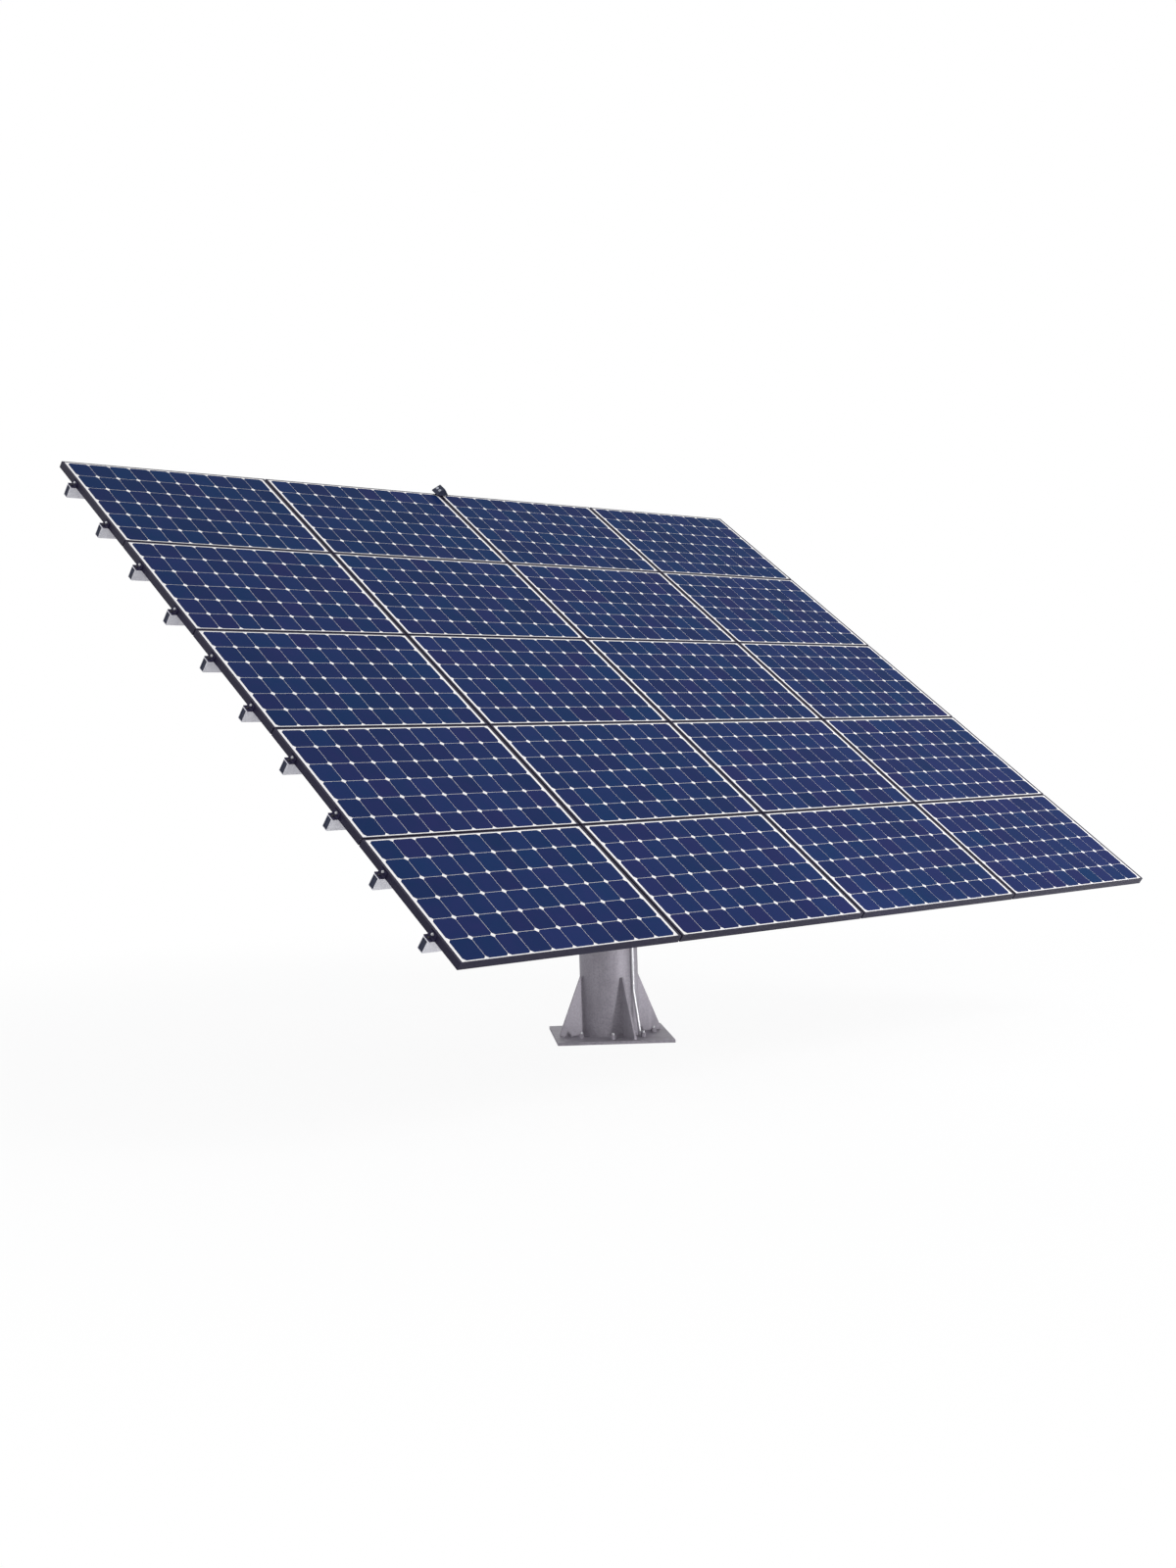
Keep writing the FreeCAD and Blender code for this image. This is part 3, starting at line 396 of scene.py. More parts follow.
def placed(shape, origins, direction, roll=0.0):
    """Copy a shape to each origin with its Z axis along a direction, as whole arrays."""
    vertices, faces = shape
    origins = np.atleast_2d(np.asarray(origins, float))
    aim = np.asarray(direction, float) / np.linalg.norm(direction)
    helper = np.array([1.0, 0, 0]) if abs(aim[0]) < 0.9 else np.array([0, 1.0, 0])
    first = np.cross(helper, aim)
    first /= np.linalg.norm(first)
    second = np.cross(aim, first)
    across = first * math.cos(roll) + second * math.sin(roll)
    up = np.cross(aim, across)
    local = vertices @ np.stack([across, up, aim])
    copies = (origins[:, None] + local[None]).reshape(-1, 3)
    offsets = (np.arange(len(origins)) * len(vertices))[:, None, None]
    return copies, [(offsets + group[None]).reshape(-1, group.shape[1]) for group in faces]


def circle_points(radius, count, start=0.0):
    """Points evenly round a circle, as (across, up) pairs."""
    angles = math.radians(start) + 2 * np.pi * np.arange(count) / count
    return np.stack([radius * np.cos(angles), radius * np.sin(angles)], axis=-1)


def on_table(shape):
    """Lift a shape from the table's frame."""
    vertices, faces = shape
    return from_table(vertices), faces


def make_piece(name, shapes, finish, body, crease=35.0):
    """Join shapes into one mesh object, smooth but for its creases, riding on a body."""
    vertices = []
    faces = []
    total = 0
    for points, groups in shapes:
        vertices.append(points)
        for group in groups:
            faces.extend((group + total).tolist())
        total += len(points)
    mesh = bpy.data.meshes.new(name)
    mesh.from_pydata(np.concatenate(vertices).tolist(), [], faces)
    mesh.materials.append(finish)
    mesh.polygons.foreach_set("use_smooth", np.ones(len(mesh.polygons), bool))
    mesh.set_sharp_from_angle(angle=math.radians(crease))
    mesh.update()
    piece = bpy.data.objects.new(name, mesh)
    bpy.context.scene.collection.objects.link(piece)
    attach(piece, body)
    return piece


# Finishes

def add_node(tree, kind, inputs=None, **settings):
    """Add a node. An input given as another node's output is linked, and any other is set."""
    made = tree.nodes.new(kind)
    for name, setting in settings.items():
        setattr(made, name, setting)
    for name, given in (inputs or {}).items():
        if isinstance(given, bpy.types.NodeSocket):
            tree.links.new(given, made.inputs[name])
        else:
            made.inputs[name].default_value = given
    return made


def new_finish(name, steady):
    """Start a finish from its shader's steady values."""
    material = bpy.data.materials.new(name)
    material.use_nodes = True
    tree = material.node_tree
    shader = tree.nodes["Principled BSDF"]
    for socket, amount in steady.items():
        shader.inputs[socket].default_value = amount
    place = add_node(tree, "ShaderNodeTexCoord").outputs["Object"]
    return material, tree, shader, place


def stretched(tree, place, scale, turn=(0.0, 0.0, 0.0)):
    """Stretch and turn the pattern's coordinates."""
    return add_node(tree, "ShaderNodeMapping", {"Vector": place, "Scale": scale, "Rotation": turn}
                    ).outputs["Vector"]


def noise(tree, place, scale, detail=4.0, roughness=0.55):
    """Cloudy pattern between 0 and 1."""
    return add_node(tree, "ShaderNodeTexNoise", {
        "Vector": place, "Scale": scale, "Detail": detail, "Roughness": roughness}).outputs["Fac"]


def spread(tree, factor, low, high, start=0.0, stop=1.0):
    """Map a pattern from one range to another."""
    return add_node(tree, "ShaderNodeMapRange", {
        "Value": factor, "From Min": start, "From Max": stop, "To Min": low, "To Max": high}
    ).outputs["Result"]


def tinted(tree, factor, first, second, blend="MIX"):
    """Blend two colours, each a triple or an output, by a factor."""
    mixer = add_node(tree, "ShaderNodeMix", {"Factor": factor}, data_type="RGBA", blend_type=blend)
    for socket, given in ((mixer.inputs[6], first), (mixer.inputs[7], second)):
        if isinstance(given, bpy.types.NodeSocket):
            tree.links.new(given, socket)
        else:
            socket.default_value = (*given, 1.0)
    return mixer.outputs[2]


def shade(colour, share):
    """Make a colour darker or lighter by a share."""
    return tuple(min(1.0, channel * share) for channel in colour)


def bumped(tree, shader, height, strength, distance):
    """Raise the surface by a pattern."""
    bump = add_node(tree, "ShaderNodeBump", {
        "Height": height, "Strength": strength, "Distance": distance})
    tree.links.new(bump.outputs["Normal"], shader.inputs["Normal"])


def zinc_finish(name, colour, flake, metallic, rough, streak):
    """Zinc coat: flakes each of their own brightness, cloudy patina and faint run-off streaks."""
    material, tree, shader, place = new_finish(name, {"Metallic": metallic})
    cells = add_node(tree, "ShaderNodeTexVoronoi", {"Vector": place, "Scale": 1 / flake,
                                                    "Randomness": 1.0})
    parts = add_node(tree, "ShaderNodeSeparateColor", {"Color": cells.outputs["Color"]})
    flakes = parts.outputs["Red"]
    cloud = noise(tree, place, 5.0, 6.0)
    runs = noise(tree, stretched(tree, place, (26.0, 26.0, 1.6)), 1.0, 4.0)
    base = tinted(tree, flakes, shade(colour, 0.86), shade(colour, 1.13))
    aged = tinted(tree, spread(tree, cloud, 0.0, 0.55, 0.42, 0.72), base, shade(colour, 0.72))
    streaked = tinted(tree, spread(tree, runs, 0.0, streak, 0.50, 0.75), aged, shade(colour, 1.35))
    tree.links.new(streaked, shader.inputs["Base Color"])
    tree.links.new(spread(tree, flakes, rough - 0.07, rough + 0.09), shader.inputs["Roughness"])
    grain = noise(tree, place, 160.0, 3.0)
    both = add_node(tree, "ShaderNodeMath", {0: flakes, 1: grain}, operation="ADD")
    bumped(tree, shader, both.outputs["Value"], 0.22, 0.0006)
    return material


def machined_finish(colours):
    """Turned steel with fine rings of tool marks under a film of grease."""
    material, tree, shader, place = new_finish("machined_finish", {
        "Metallic": 1.0, "Coat Weight": 0.25, "Coat Roughness": 0.35})
    marks = noise(tree, stretched(tree, place, (3.0, 3.0, 700.0)), 1.0, 3.0)
    film = noise(tree, place, 14.0, 5.0)
    colour = tinted(tree, marks, shade(colours.machined, 0.8), shade(colours.machined, 1.2))
    greased = tinted(tree, spread(tree, film, 0.0, 0.6, 0.45, 0.7), colour, (0.06, 0.045, 0.025))
    tree.links.new(greased, shader.inputs["Base Color"])
    tree.links.new(spread(tree, film, 0.25, 0.5), shader.inputs["Roughness"])
    bumped(tree, shader, marks, 0.15, 0.0003)
    return material


def enamel_finish(name, colour, rough, grain_size):
    """Paint over rough castings: a cast grain, dust in cloudy patches and rubbed lighter spots."""
    material, tree, shader, place = new_finish(name, {"Coat Weight": 0.15, "Coat Roughness": 0.3})
    grain = noise(tree, place, 1 / grain_size, 4.0, 0.6)
    dust = noise(tree, place, 7.0, 6.0)
    rubbed = noise(tree, place, 38.0, 5.0, 0.7)
    dusty = tinted(tree, spread(tree, dust, 0.0, 0.5, 0.45, 0.75), colour, shade(colour, 1.5))
    worn = tinted(tree, spread(tree, rubbed, 0.0, 0.6, 0.66, 0.78), dusty, shade(colour, 0.6))
    tree.links.new(worn, shader.inputs["Base Color"])
    tree.links.new(spread(tree, dust, rough - 0.05, rough + 0.16), shader.inputs["Roughness"])
    bumped(tree, shader, grain, 0.30, 0.0008)
    return material


def anodised_finish(name, colour, rough):
    """Black anodised extrusion: satin, with fine die lines and pale dust in soft patches."""
    material, tree, shader, place = new_finish(name, {"Specular IOR Level": 0.18})
    level = stretched(tree, place, (1.2, 1.0, 420.0), (-REST_TILT, 0.0, 0.0))
    lines = noise(tree, level, 1.0, 2.0)
    dust = noise(tree, place, 3.0, 5.0)
    base = tinted(tree, lines, shade(colour, 0.85), shade(colour, 1.15))
    dusty = tinted(tree, spread(tree, dust, 0.0, 0.35, 0.45, 0.8), base, shade(colour, 1.8))
    tree.links.new(dusty, shader.inputs["Base Color"])
    tree.links.new(spread(tree, dust, rough - 0.05, rough + 0.12), shader.inputs["Roughness"])
    bumped(tree, shader, lines, 0.12, 0.0002)
    return material


def backsheet_finish(colours):
    """White sheet under clear glass, with the faint weave of the sheet and a trace of dust."""
    material, tree, shader, place = new_finish("backsheet_finish", {
        "Roughness": 0.45, "Coat Weight": 0.35, "Coat Roughness": 0.06, "Coat IOR": 1.35})
    weave = noise(tree, place, 520.0, 2.0)
    dust = noise(tree, place, 2.2, 5.0)
    base = tinted(tree, weave, shade(colours.backsheet, 0.97), colours.backsheet)
    dusty = tinted(tree, spread(tree, dust, 0.0, 0.25, 0.45, 0.8), base,
                   shade(colours.backsheet, 0.85))
    tree.links.new(dusty, shader.inputs["Base Color"])
    bumped(tree, shader, weave, 0.05, 0.0001)
    return material


def silicon_finish(colours):
    """Dark blue wafer under clear glass: a tone of its own for each cell, and a cloudy coat."""
    material, tree, shader, place = new_finish("silicon_finish", {
        "Specular IOR Level": 0.0, "Coat Weight": 0.12, "Coat Roughness": 0.05, "Coat IOR": 1.35})
    tone = add_node(tree, "ShaderNodeAttribute", attribute_name="cell_tone").outputs["Fac"]
    light = add_node(tree, "ShaderNodeAttribute", attribute_name="cell_light").outputs["Fac"]
    cloud = noise(tree, place, 9.0, 4.0)
    drift = spread(tree, cloud, -0.22, 0.22, 0.3, 0.7)
    mixed = add_node(tree, "ShaderNodeMath", {0: tone, 1: drift}, operation="ADD", use_clamp=True)
    hue = tinted(tree, mixed.outputs["Value"], colours.cell_cool, colours.cell_warm)
    lit = tinted(tree, light, shade(colours.cell_warm, 0.72), shade(colours.cell_cool, 1.5))
    wafer = tinted(tree, 0.32, hue, lit)
    tree.links.new(wafer, shader.inputs["Base Color"])
    tree.links.new(spread(tree, cloud, 0.24, 0.36), shader.inputs["Roughness"])
    bumped(tree, shader, noise(tree, place, 900.0, 2.0), 0.04, 0.0001)
    return material


def plastic_finish(name, colour):
    """Moulded black plastic with a fine spark-eroded grain and a greyed, sun-worn bloom."""
    material, tree, shader, place = new_finish(name, {"Specular IOR Level": 0.35})
    grain = noise(tree, place, 800.0, 3.0)
    bloom = noise(tree, place, 12.0, 5.0)
    faded = tinted(tree, spread(tree, bloom, 0.0, 0.5, 0.42, 0.75), colour, shade(colour, 2.2))
    tree.links.new(faded, shader.inputs["Base Color"])
    tree.links.new(spread(tree, bloom, 0.45, 0.62), shader.inputs["Roughness"])
    bumped(tree, shader, grain, 0.20, 0.0003)
    return material


def lens_finish(colours):
    """Small light cell under a clear dome."""
    material, tree, shader, place = new_finish("lens_finish", {
        "Roughness": 0.25, "Coat Weight": 1.0, "Coat Roughness": 0.03})
    cloud = noise(tree, place, 120.0, 3.0)
    tree.links.new(tinted(tree, cloud, shade(colours.lens, 0.85), shade(colours.lens, 1.15)),
                   shader.inputs["Base Color"])
    return material


def finish(name):
    """Find a finish that the finishes operator made."""
    if name not in bpy.data.materials:
        raise RuntimeError("make the finishes before the pieces")
    return bpy.data.materials[name]


SLOT_FINISHES = {
    "galvanised_steel": "galvanised_finish",
    "purlin_steel": "strip_zinc_finish",
    "bright_conduit": "bright_zinc_finish",
    "machined_steel": "machined_finish",
    "drive_casting": "casting_finish",
    "motor_paint": "motor_finish",
    "module_frame": "anodised_finish",
    "module_laminate": "backsheet_finish",
    "clamp_black": "clamp_finish",
    "black_plastic": "plastic_finish",
}


class TRACKER_OT_finishes(bpy.types.Operator):
    """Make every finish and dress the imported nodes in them"""

    bl_idname = "tracker.finishes"
    bl_label = "Finishes"

    def execute(self, context):
        colours = context.scene.tracker_colours
        zinc_finish("galvanised_finish", colours.galvanised, 0.011, 0.30, 0.52, 0.45)
        zinc_finish("strip_zinc_finish", colours.strip_zinc, 0.004, 0.20, 0.42, 0.20)
        zinc_finish("bright_zinc_finish", colours.bright_zinc, 0.002, 0.55, 0.34, 0.10)
        zinc_finish("black_zinc_finish", colours.black_zinc, 0.001, 0.30, 0.42, 0.05)
        machined_finish(colours)
        enamel_finish("casting_finish", colours.casting, 0.42, 0.006)
        enamel_finish("motor_finish", colours.motor, 0.38, 0.010)
        anodised_finish("anodised_finish", colours.anodised, 0.42)
        anodised_finish("clamp_finish", shade(colours.anodised, 1.4), 0.48)
        backsheet_finish(colours)
        silicon_finish(colours)
        plastic_finish("plastic_finish", colours.plastic)
        lens_finish(colours)
        for part in frame["record"]["subparts"]:
            mesh = frame["nodes"][part["node"]].data
            mesh.materials.clear()
            mesh.materials.append(finish(SLOT_FINISHES[part["material_slot"]]))
        return {"FINISHED"}


class TRACKER_OT_cells(bpy.types.Operator):
    """Lay the pseudo-square cells of every module, one piece for each row of modules"""

    bl_idname = "tracker.cells"
    bl_label = "Solar Cells"

    def execute(self, context):
        sizes = context.scene.tracker_sizes
        half = sizes.cell_side / 2
        inner = half - sizes.cell_corner
        corners = np.array([(half, -inner), (half, inner), (inner, half), (-inner, half),
                            (-half, inner), (-half, -inner), (-inner, -half), (inner, -half)])
        points = len(corners)
        top = LAMINATE_MIDDLE + self.laminate_half() + sizes.cell_stand
        along = (np.arange(CELLS_ALONG) - (CELLS_ALONG - 1) / 2) * sizes.cell_pitch
        up = (np.arange(CELLS_UP) - (CELLS_UP - 1) / 2) * sizes.cell_pitch
        for row, line in enumerate(ROW_LINES):
            u, w = np.meshgrid((COLUMN_LINES[:, None] + along).ravel(), line + up, indexing="ij")
            centres = np.stack([u.ravel(), w.ravel()], axis=-1)
            outline = centres[:, None] + corners[None]
            count = len(centres)
            flat = np.stack([
                np.concatenate([outline, np.full((count, points, 1), level)], axis=-1)
                for level in (top - 2 * sizes.cell_stand, top)], axis=1)
            step = np.arange(points)
            after = (step + 1) % points
            sides = np.stack([step, after, after + points, step + points], axis=-1)
            offsets = (2 * points * np.arange(count))[:, None, None]
            caps = np.stack([step[::-1], step + points])
            faces = [(offsets + sides[None]).reshape(-1, 4),
                     (offsets + caps[None]).reshape(-1, points)]
            piece = make_piece("cells_row_%d" % (row + 1), [(from_table(flat.reshape(-1, 3)), faces)],
                               finish("silicon_finish"), "table")
            self.tint(piece.data, row, count)
        return {"FINISHED"}

    @staticmethod
    def laminate_half():
        """Half the laminate's thickness, from the tilted box's height less its width's share."""
        low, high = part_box(LAMINATES[0])
        height = high[2] - low[2]
        depth = high[1] - low[1]
        return (height * COSINE - depth * SINE) / (COSINE * COSINE - SINE * SINE) / 2

    @staticmethod
    def tint(mesh, row, count):
        """Give each cell its own tone and lightness, more violet in the lower rows."""
        first_seed = 41
        random = np.random.default_rng(first_seed + row)
        module = np.repeat(random.normal(0, 0.10, len(COLUMN_LINES)), count // len(COLUMN_LINES))
        lowest_tone = 0.68
        batch = lowest_tone - 0.12 * row + module
        corners = len(mesh.vertices) // count
        for name, share in (("cell_tone", batch + random.normal(0, 0.24, count)),
                            ("cell_light", random.random(count))):
            layer = mesh.attributes.new(name, "FLOAT", "POINT")
            tones = np.repeat(np.clip(share, 0, 1), corners)
            layer.data.foreach_set("value", tones.astype(np.float32))


class TRACKER_OT_end_lips(bpy.types.Operator):
    """Widen the lips of the short frame bars over both ends of every laminate"""

    bl_idname = "tracker.end_lips"
    bl_label = "Frame End Lips"

    def execute(self, context):
        sizes = context.scene.tracker_sizes
        overlap = 0.0002
        width = sizes.end_lip - sizes.frame_lip + overlap
        length = sizes.module_width - 2 * sizes.frame_lip + 2 * overlap
        low = LAMINATE_MIDDLE + 0.0010
        top = LAMINATE_MIDDLE + sizes.frame_stand - overlap / 4
        corners = np.array([(-0.5, -0.5), (0.5, -0.5), (0.5, 0.5), (-0.5, 0.5)])
        bar = shell(np.stack([np.column_stack([corners * (width, length), np.full(4, level)])
                              for level in (low, top)]))
        inset = sizes.module_length / 2 - sizes.end_lip + width / 2
        along = np.concatenate([COLUMN_LINES - inset, COLUMN_LINES + inset])
        u, w = np.meshgrid(along, ROW_LINES, indexing="ij")
        spots = np.column_stack([u.ravel(), w.ravel(), np.zeros(u.size)])
        bars = on_table(placed(bar, spots, (0, 0, 1), math.pi / 2))
        make_piece("frame_end_lips", [bars], finish("anodised_finish"), "table")
        return {"FINISHED"}


class TRACKER_OT_anchors(bpy.types.Operator):
    """Set the anchor rods with their washers and double nuts on the base plate"""

    bl_idname = "tracker.anchors"
    bl_label = "Anchor Rods"

    start: bpy.props.FloatProperty(name="Start", description="Angle of the first rod in degrees",
                                   default=2.5)

    def execute(self, context):
        sizes = context.scene.tracker_sizes
        mount = [item for item in frame["record"]["mounts"] if item["name"] == "anchor_bolts"][0]
        count = mount["dims"]["count"]
        top = sizes.plate_thickness
        rod = sizes.anchor_rod
        washer_height = 0.003
        chamfer = 0.002
        nut = hex_bolt(rod * 1.5, rod * 0.80, rod * 1.7, washer_height, second=rod * 0.4)
        spots = circle_points(sizes.anchor_circle / 2, count, self.start)
        nuts = placed(nut, np.column_stack([spots, np.full(count, top)]), (0, 0, 1), roll=0.3)
        make_piece("anchor_nuts", [nuts], finish("galvanised_finish"), "base")
        tip = top + washer_height + rod * 1.9
        heights = np.array([0.001, tip - chamfer, tip])
        radii = np.array([rod / 2, rod / 2, rod / 2 - chamfer])
        shank = turned(heights, np.broadcast_to(radii[:, None], (3, 16)))
        shanks = placed(shank, np.column_stack([spots, np.zeros(count)]), (0, 0, 1))
        make_piece("anchor_rods", [shanks], finish("bright_zinc_finish"), "base")
        return {"FINISHED"}


class TRACKER_OT_drive_bolts(bpy.types.Operator):
    """Bolt the turntable, the side covers, the worm covers and the motor flanges of both drives"""

    bl_idname = "tracker.drive_bolts"
    bl_label = "Drive Bolts"

    def execute(self, context):
        sizes = context.scene.tracker_sizes
        large = hex_bolt(*HEAD_M16)
        small = hex_bolt(*COVER_HEAD_M8)
        low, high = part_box("turntable")
        inset = 0.022
        count = 24
        spots = circle_points((high[0] - low[0]) / 2 - inset, count, 180 / count)
        shapes = [placed(large, np.column_stack([spots, np.full(count, high[2])]), (0, 0, 1))]
        low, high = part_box("tilt_housing")
        inset = 0.026
        count = 20
        rim = circle_points((high[1] - low[1]) / 2 - inset, count, 180 / count)
        face = self.drum_half(sizes)
        for side in (-1, 1):
            spots = np.column_stack([np.full(count, side * face), rim[:, 0],
                                     rim[:, 1] + TILT_AXIS])
            shapes.append(placed(large, spots, (side, 0, 0)))
        cover_ring = 0.043
        flange_ring = 0.052
        for motor in ("azimuth_motor", "tilt_motor"):
            centre = middle(motor)
            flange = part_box(motor)[0][1] + sizes.motor_flange
            for radius, reach, count, direction in ((cover_ring, -sizes.worm_front, 6, -1),
                                                    (flange_ring, flange, 4, 1)):
                ring = circle_points(radius, count, 45.0)
                spots = np.column_stack([ring[:, 0] + centre[0], np.full(count, reach),
                                         ring[:, 1] + centre[2]])
                shapes.append(placed(small, spots, (0, direction, 0)))
        make_piece("drive_bolts", shapes, finish("bright_zinc_finish"), "head")
        return {"FINISHED"}

    @staticmethod
    def drum_half(sizes):
        """Half the width of the tilt drive's drum: the tilt ring's half less the gap beside it."""
        low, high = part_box("tilt_ring")
        return (high[0] - low[0]) / 2 - sizes.face_gap


class TRACKER_OT_motor_shells(bpy.types.Operator):
    """Dress both gear motors with cooling ribs and a terminal box"""

    bl_idname = "tracker.motor_shells"
    bl_label = "Motor Shells"

    def execute(self, context):
        sizes = context.scene.tracker_sizes
        shapes = []
        rib_count = 24
        rib_depth = 0.004
        angles = np.linspace(0, 2 * np.pi, 6 * rib_count, endpoint=False)
        ribs = (0.5 + 0.5 * np.cos(rib_count * angles)) ** 2
        share = np.array([0.0, 0.0, 0.2, 1.0, 1.0, 0.2, 0.0, 0.0])
        reach = np.array([0.030, 0.0392, 0.0396, 0.0396, 0.0396, 0.0396, 0.0392, 0.030])
        heights = np.array([0.0, 0.0, 0.003, 0.006, 0.098, 0.101, 0.104, 0.104])
        sleeve = turned(heights, reach[:, None] + rib_depth * share[:, None] * ribs[None])
        box = soft_block((0.050, 0.062, 0.020))
        screw = hex_bolt(*SCREW_M4)
        screw_seat = 0.019
        corners = np.array([(-1, -1), (1, -1), (-1, 1), (1, 1)]) * (0.019, 0.024)
        sleeve_start = 0.008
        box_start = 0.056
        box_rise = 0.038
        for motor in ("azimuth_motor", "tilt_motor"):
            centre = middle(motor)
            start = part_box(motor)[0][1] + sizes.motor_flange + sizes.gearbox_length
            shapes.append(placed(sleeve, [(centre[0], start + sleeve_start, centre[2])], (0, 1, 0)))
            seat = (centre[0], start + box_start, centre[2] + box_rise)
            shapes.append(placed(box, [seat], (0, 0, 1), roll=math.pi / 2))
            spots = np.column_stack([corners + seat[:2], np.full(4, seat[2] + screw_seat)])
            shapes.append(placed(screw, spots, (0, 0, 1)))
        make_piece("motor_shells", shapes, finish("motor_finish"), "head")
        return {"FINISHED"}


class TRACKER_OT_tube_bolts(bpy.types.Operator):
    """Bolt the torque tube's flanges to the tilt ring"""

    bl_idname = "tracker.tube_bolts"
    bl_label = "Tube Flange Bolts"

    def execute(self, context):
        sizes = context.scene.tracker_sizes
        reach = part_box("tilt_ring")[1][0] + sizes.tube_flange
        stand_off = 0.0195
        count = 16
        ring = circle_points(sizes.tube_diameter / 2 + stand_off, count, 180 / count)
        bolt = hex_bolt(*HEAD_M16)
        shapes = []
        for side in (-1, 1):
            spots = np.column_stack([np.full(count, side * reach), ring])
            shapes.append(on_table(placed(bolt, spots, (side, 0, 0))))
        make_piece("tube_flange_bolts", shapes, finish("bright_zinc_finish"), "table")
        return {"FINISHED"}


class TRACKER_OT_u_bolts(bpy.types.Operator):
    """Strap the saddles to the torque tube with U-bolts and nuts"""

    bl_idname = "tracker.u_bolts"
    bl_label = "Saddle U-bolts"

    def execute(self, context):
        sizes = context.scene.tracker_sizes
        tube = sizes.tube_diameter / 2
        bend = tube + sizes.seat_gap + ROD_M12 / 2
        top = tube + sizes.saddle_crown
        half_spacing = 0.0505
        proud = 0.024
        angles = np.radians(np.linspace(180, 360, 33))
        arc = np.stack([bend * np.cos(angles), bend * np.sin(angles)], axis=-1)
        legs = np.linspace(top + proud, 0.02, 4)
        path = np.concatenate([np.stack([np.full(4, -bend), legs], axis=-1), arc,
                               np.stack([np.full(4, bend), legs[::-1]], axis=-1)])
        nut = hex_bolt(*NUT_M12)
        shapes = []
        for line in COLUMN_LINES:
            for side in (-1, 1):
                u = line + side * half_spacing
                points = np.column_stack([np.full(len(path), u), path])
                shapes.append(on_table(pipe(points, ROD_M12 / 2, side=(1, 0, 0), steps=10)))
                spots = [(u, -bend, top), (u, bend, top)]
                shapes.append(on_table(placed(nut, spots, (0, 0, 1), roll=math.pi / 6)))
        make_piece("saddle_u_bolts", shapes, finish("bright_zinc_finish"), "table")
        return {"FINISHED"}


class TRACKER_OT_purlin_bolts(bpy.types.Operator):
    """Bolt every purlin right through to the angle on every rafter"""

    bl_idname = "tracker.purlin_bolts"
    bl_label = "Purlin Bolts"

    def execute(self, context):
        sizes = context.scene.tracker_sizes
        side = sizes.purlin_width / 2
        bolt_height = 0.034
        half_spacing = 0.017
        u, w = np.meshgrid(COLUMN_LINES, PURLIN_LINES, indexing="ij")
        u = np.concatenate([u.ravel() - half_spacing, u.ravel() + half_spacing])
        w = np.tile(w.ravel(), 2)
        level = np.full(len(u), PURLIN_MIDDLE - sizes.purlin_depth / 2 + bolt_height)
        head = hex_bolt(*HEAD_M12)
        nut = hex_bolt(*NUT_M12, rod=ROD_M12, rod_height=ROD_M12 / 2)
        below = w - side - sizes.cleat_wall
        shapes = [
            on_table(placed(head, np.column_stack([u, below, level]), (0, -1, 0))),
            on_table(placed(nut, np.column_stack([u, w + side, level]), (0, 1, 0))),
        ]
        make_piece("purlin_bolts", shapes, finish("bright_zinc_finish"), "table")
        return {"FINISHED"}


class TRACKER_OT_purlin_plugs(bpy.types.Operator):
    """Close both ends of every purlin with a dished plug of black plastic"""

    bl_idname = "tracker.purlin_plugs"
    bl_label = "Purlin Plugs"

    def execute(self, context):
        sizes = context.scene.tracker_sizes
        wall = sizes.purlin_wall + 0.0002
        plug = rounded_plug(sizes.purlin_depth - 2 * wall, sizes.purlin_width - 2 * wall)
        recess = 0.002
        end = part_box(PURLINS[0])[1][0] - recess
        count = len(PURLIN_LINES)
        shapes = []
        for side in (-1, 1):
            spots = np.column_stack([np.full(count, side * end), PURLIN_LINES,
                                     np.full(count, PURLIN_MIDDLE)])
            shapes.append(on_table(placed(plug, spots, (side, 0, 0))))
        make_piece("purlin_plugs", shapes, finish("plastic_finish"), "table")
        return {"FINISHED"}


class TRACKER_OT_clamp_bolts(bpy.types.Operator):
    """Bolt the end clamps to the frames' outer sides and to the purlins"""

    bl_idname = "tracker.clamp_bolts"
    bl_label = "End Clamp Bolts"

    def execute(self, context):
        sizes = context.scene.tracker_sizes
        seat = PURLIN_MIDDLE + sizes.purlin_depth / 2
        leg_height = 0.026
        foot_reach = 0.0255
        leg_bolt = hex_bolt(*HEAD_M8)
        foot_bolt = hex_bolt(*FLAT_HEAD_M8)
        legs = []
        feet = []
        for side in (-1, 1):
            face = side * (HALF_LENGTH + sizes.seat_gap + sizes.clamp_wall)
            legs.append(self.bolts(leg_bolt, face, seat + leg_height, (side, 0, 0)))
            middle_line = side * (HALF_LENGTH + foot_reach)
            feet.append(self.bolts(foot_bolt, middle_line, seat + sizes.clamp_wall, (0, 0, 1)))
        make_piece("clamp_leg_bolts", legs, finish("bright_zinc_finish"), "table")
        make_piece("clamp_foot_bolts", feet, finish("black_zinc_finish"), "table")
        return {"FINISHED"}

    @staticmethod
    def bolts(bolt, along, level, direction):
        """One bolt for every purlin, at one place along the rows and one level."""
        count = len(PURLIN_LINES)
        spots = np.column_stack([np.full(count, along), PURLIN_LINES, np.full(count, level)])
        return on_table(placed(bolt, spots, direction))


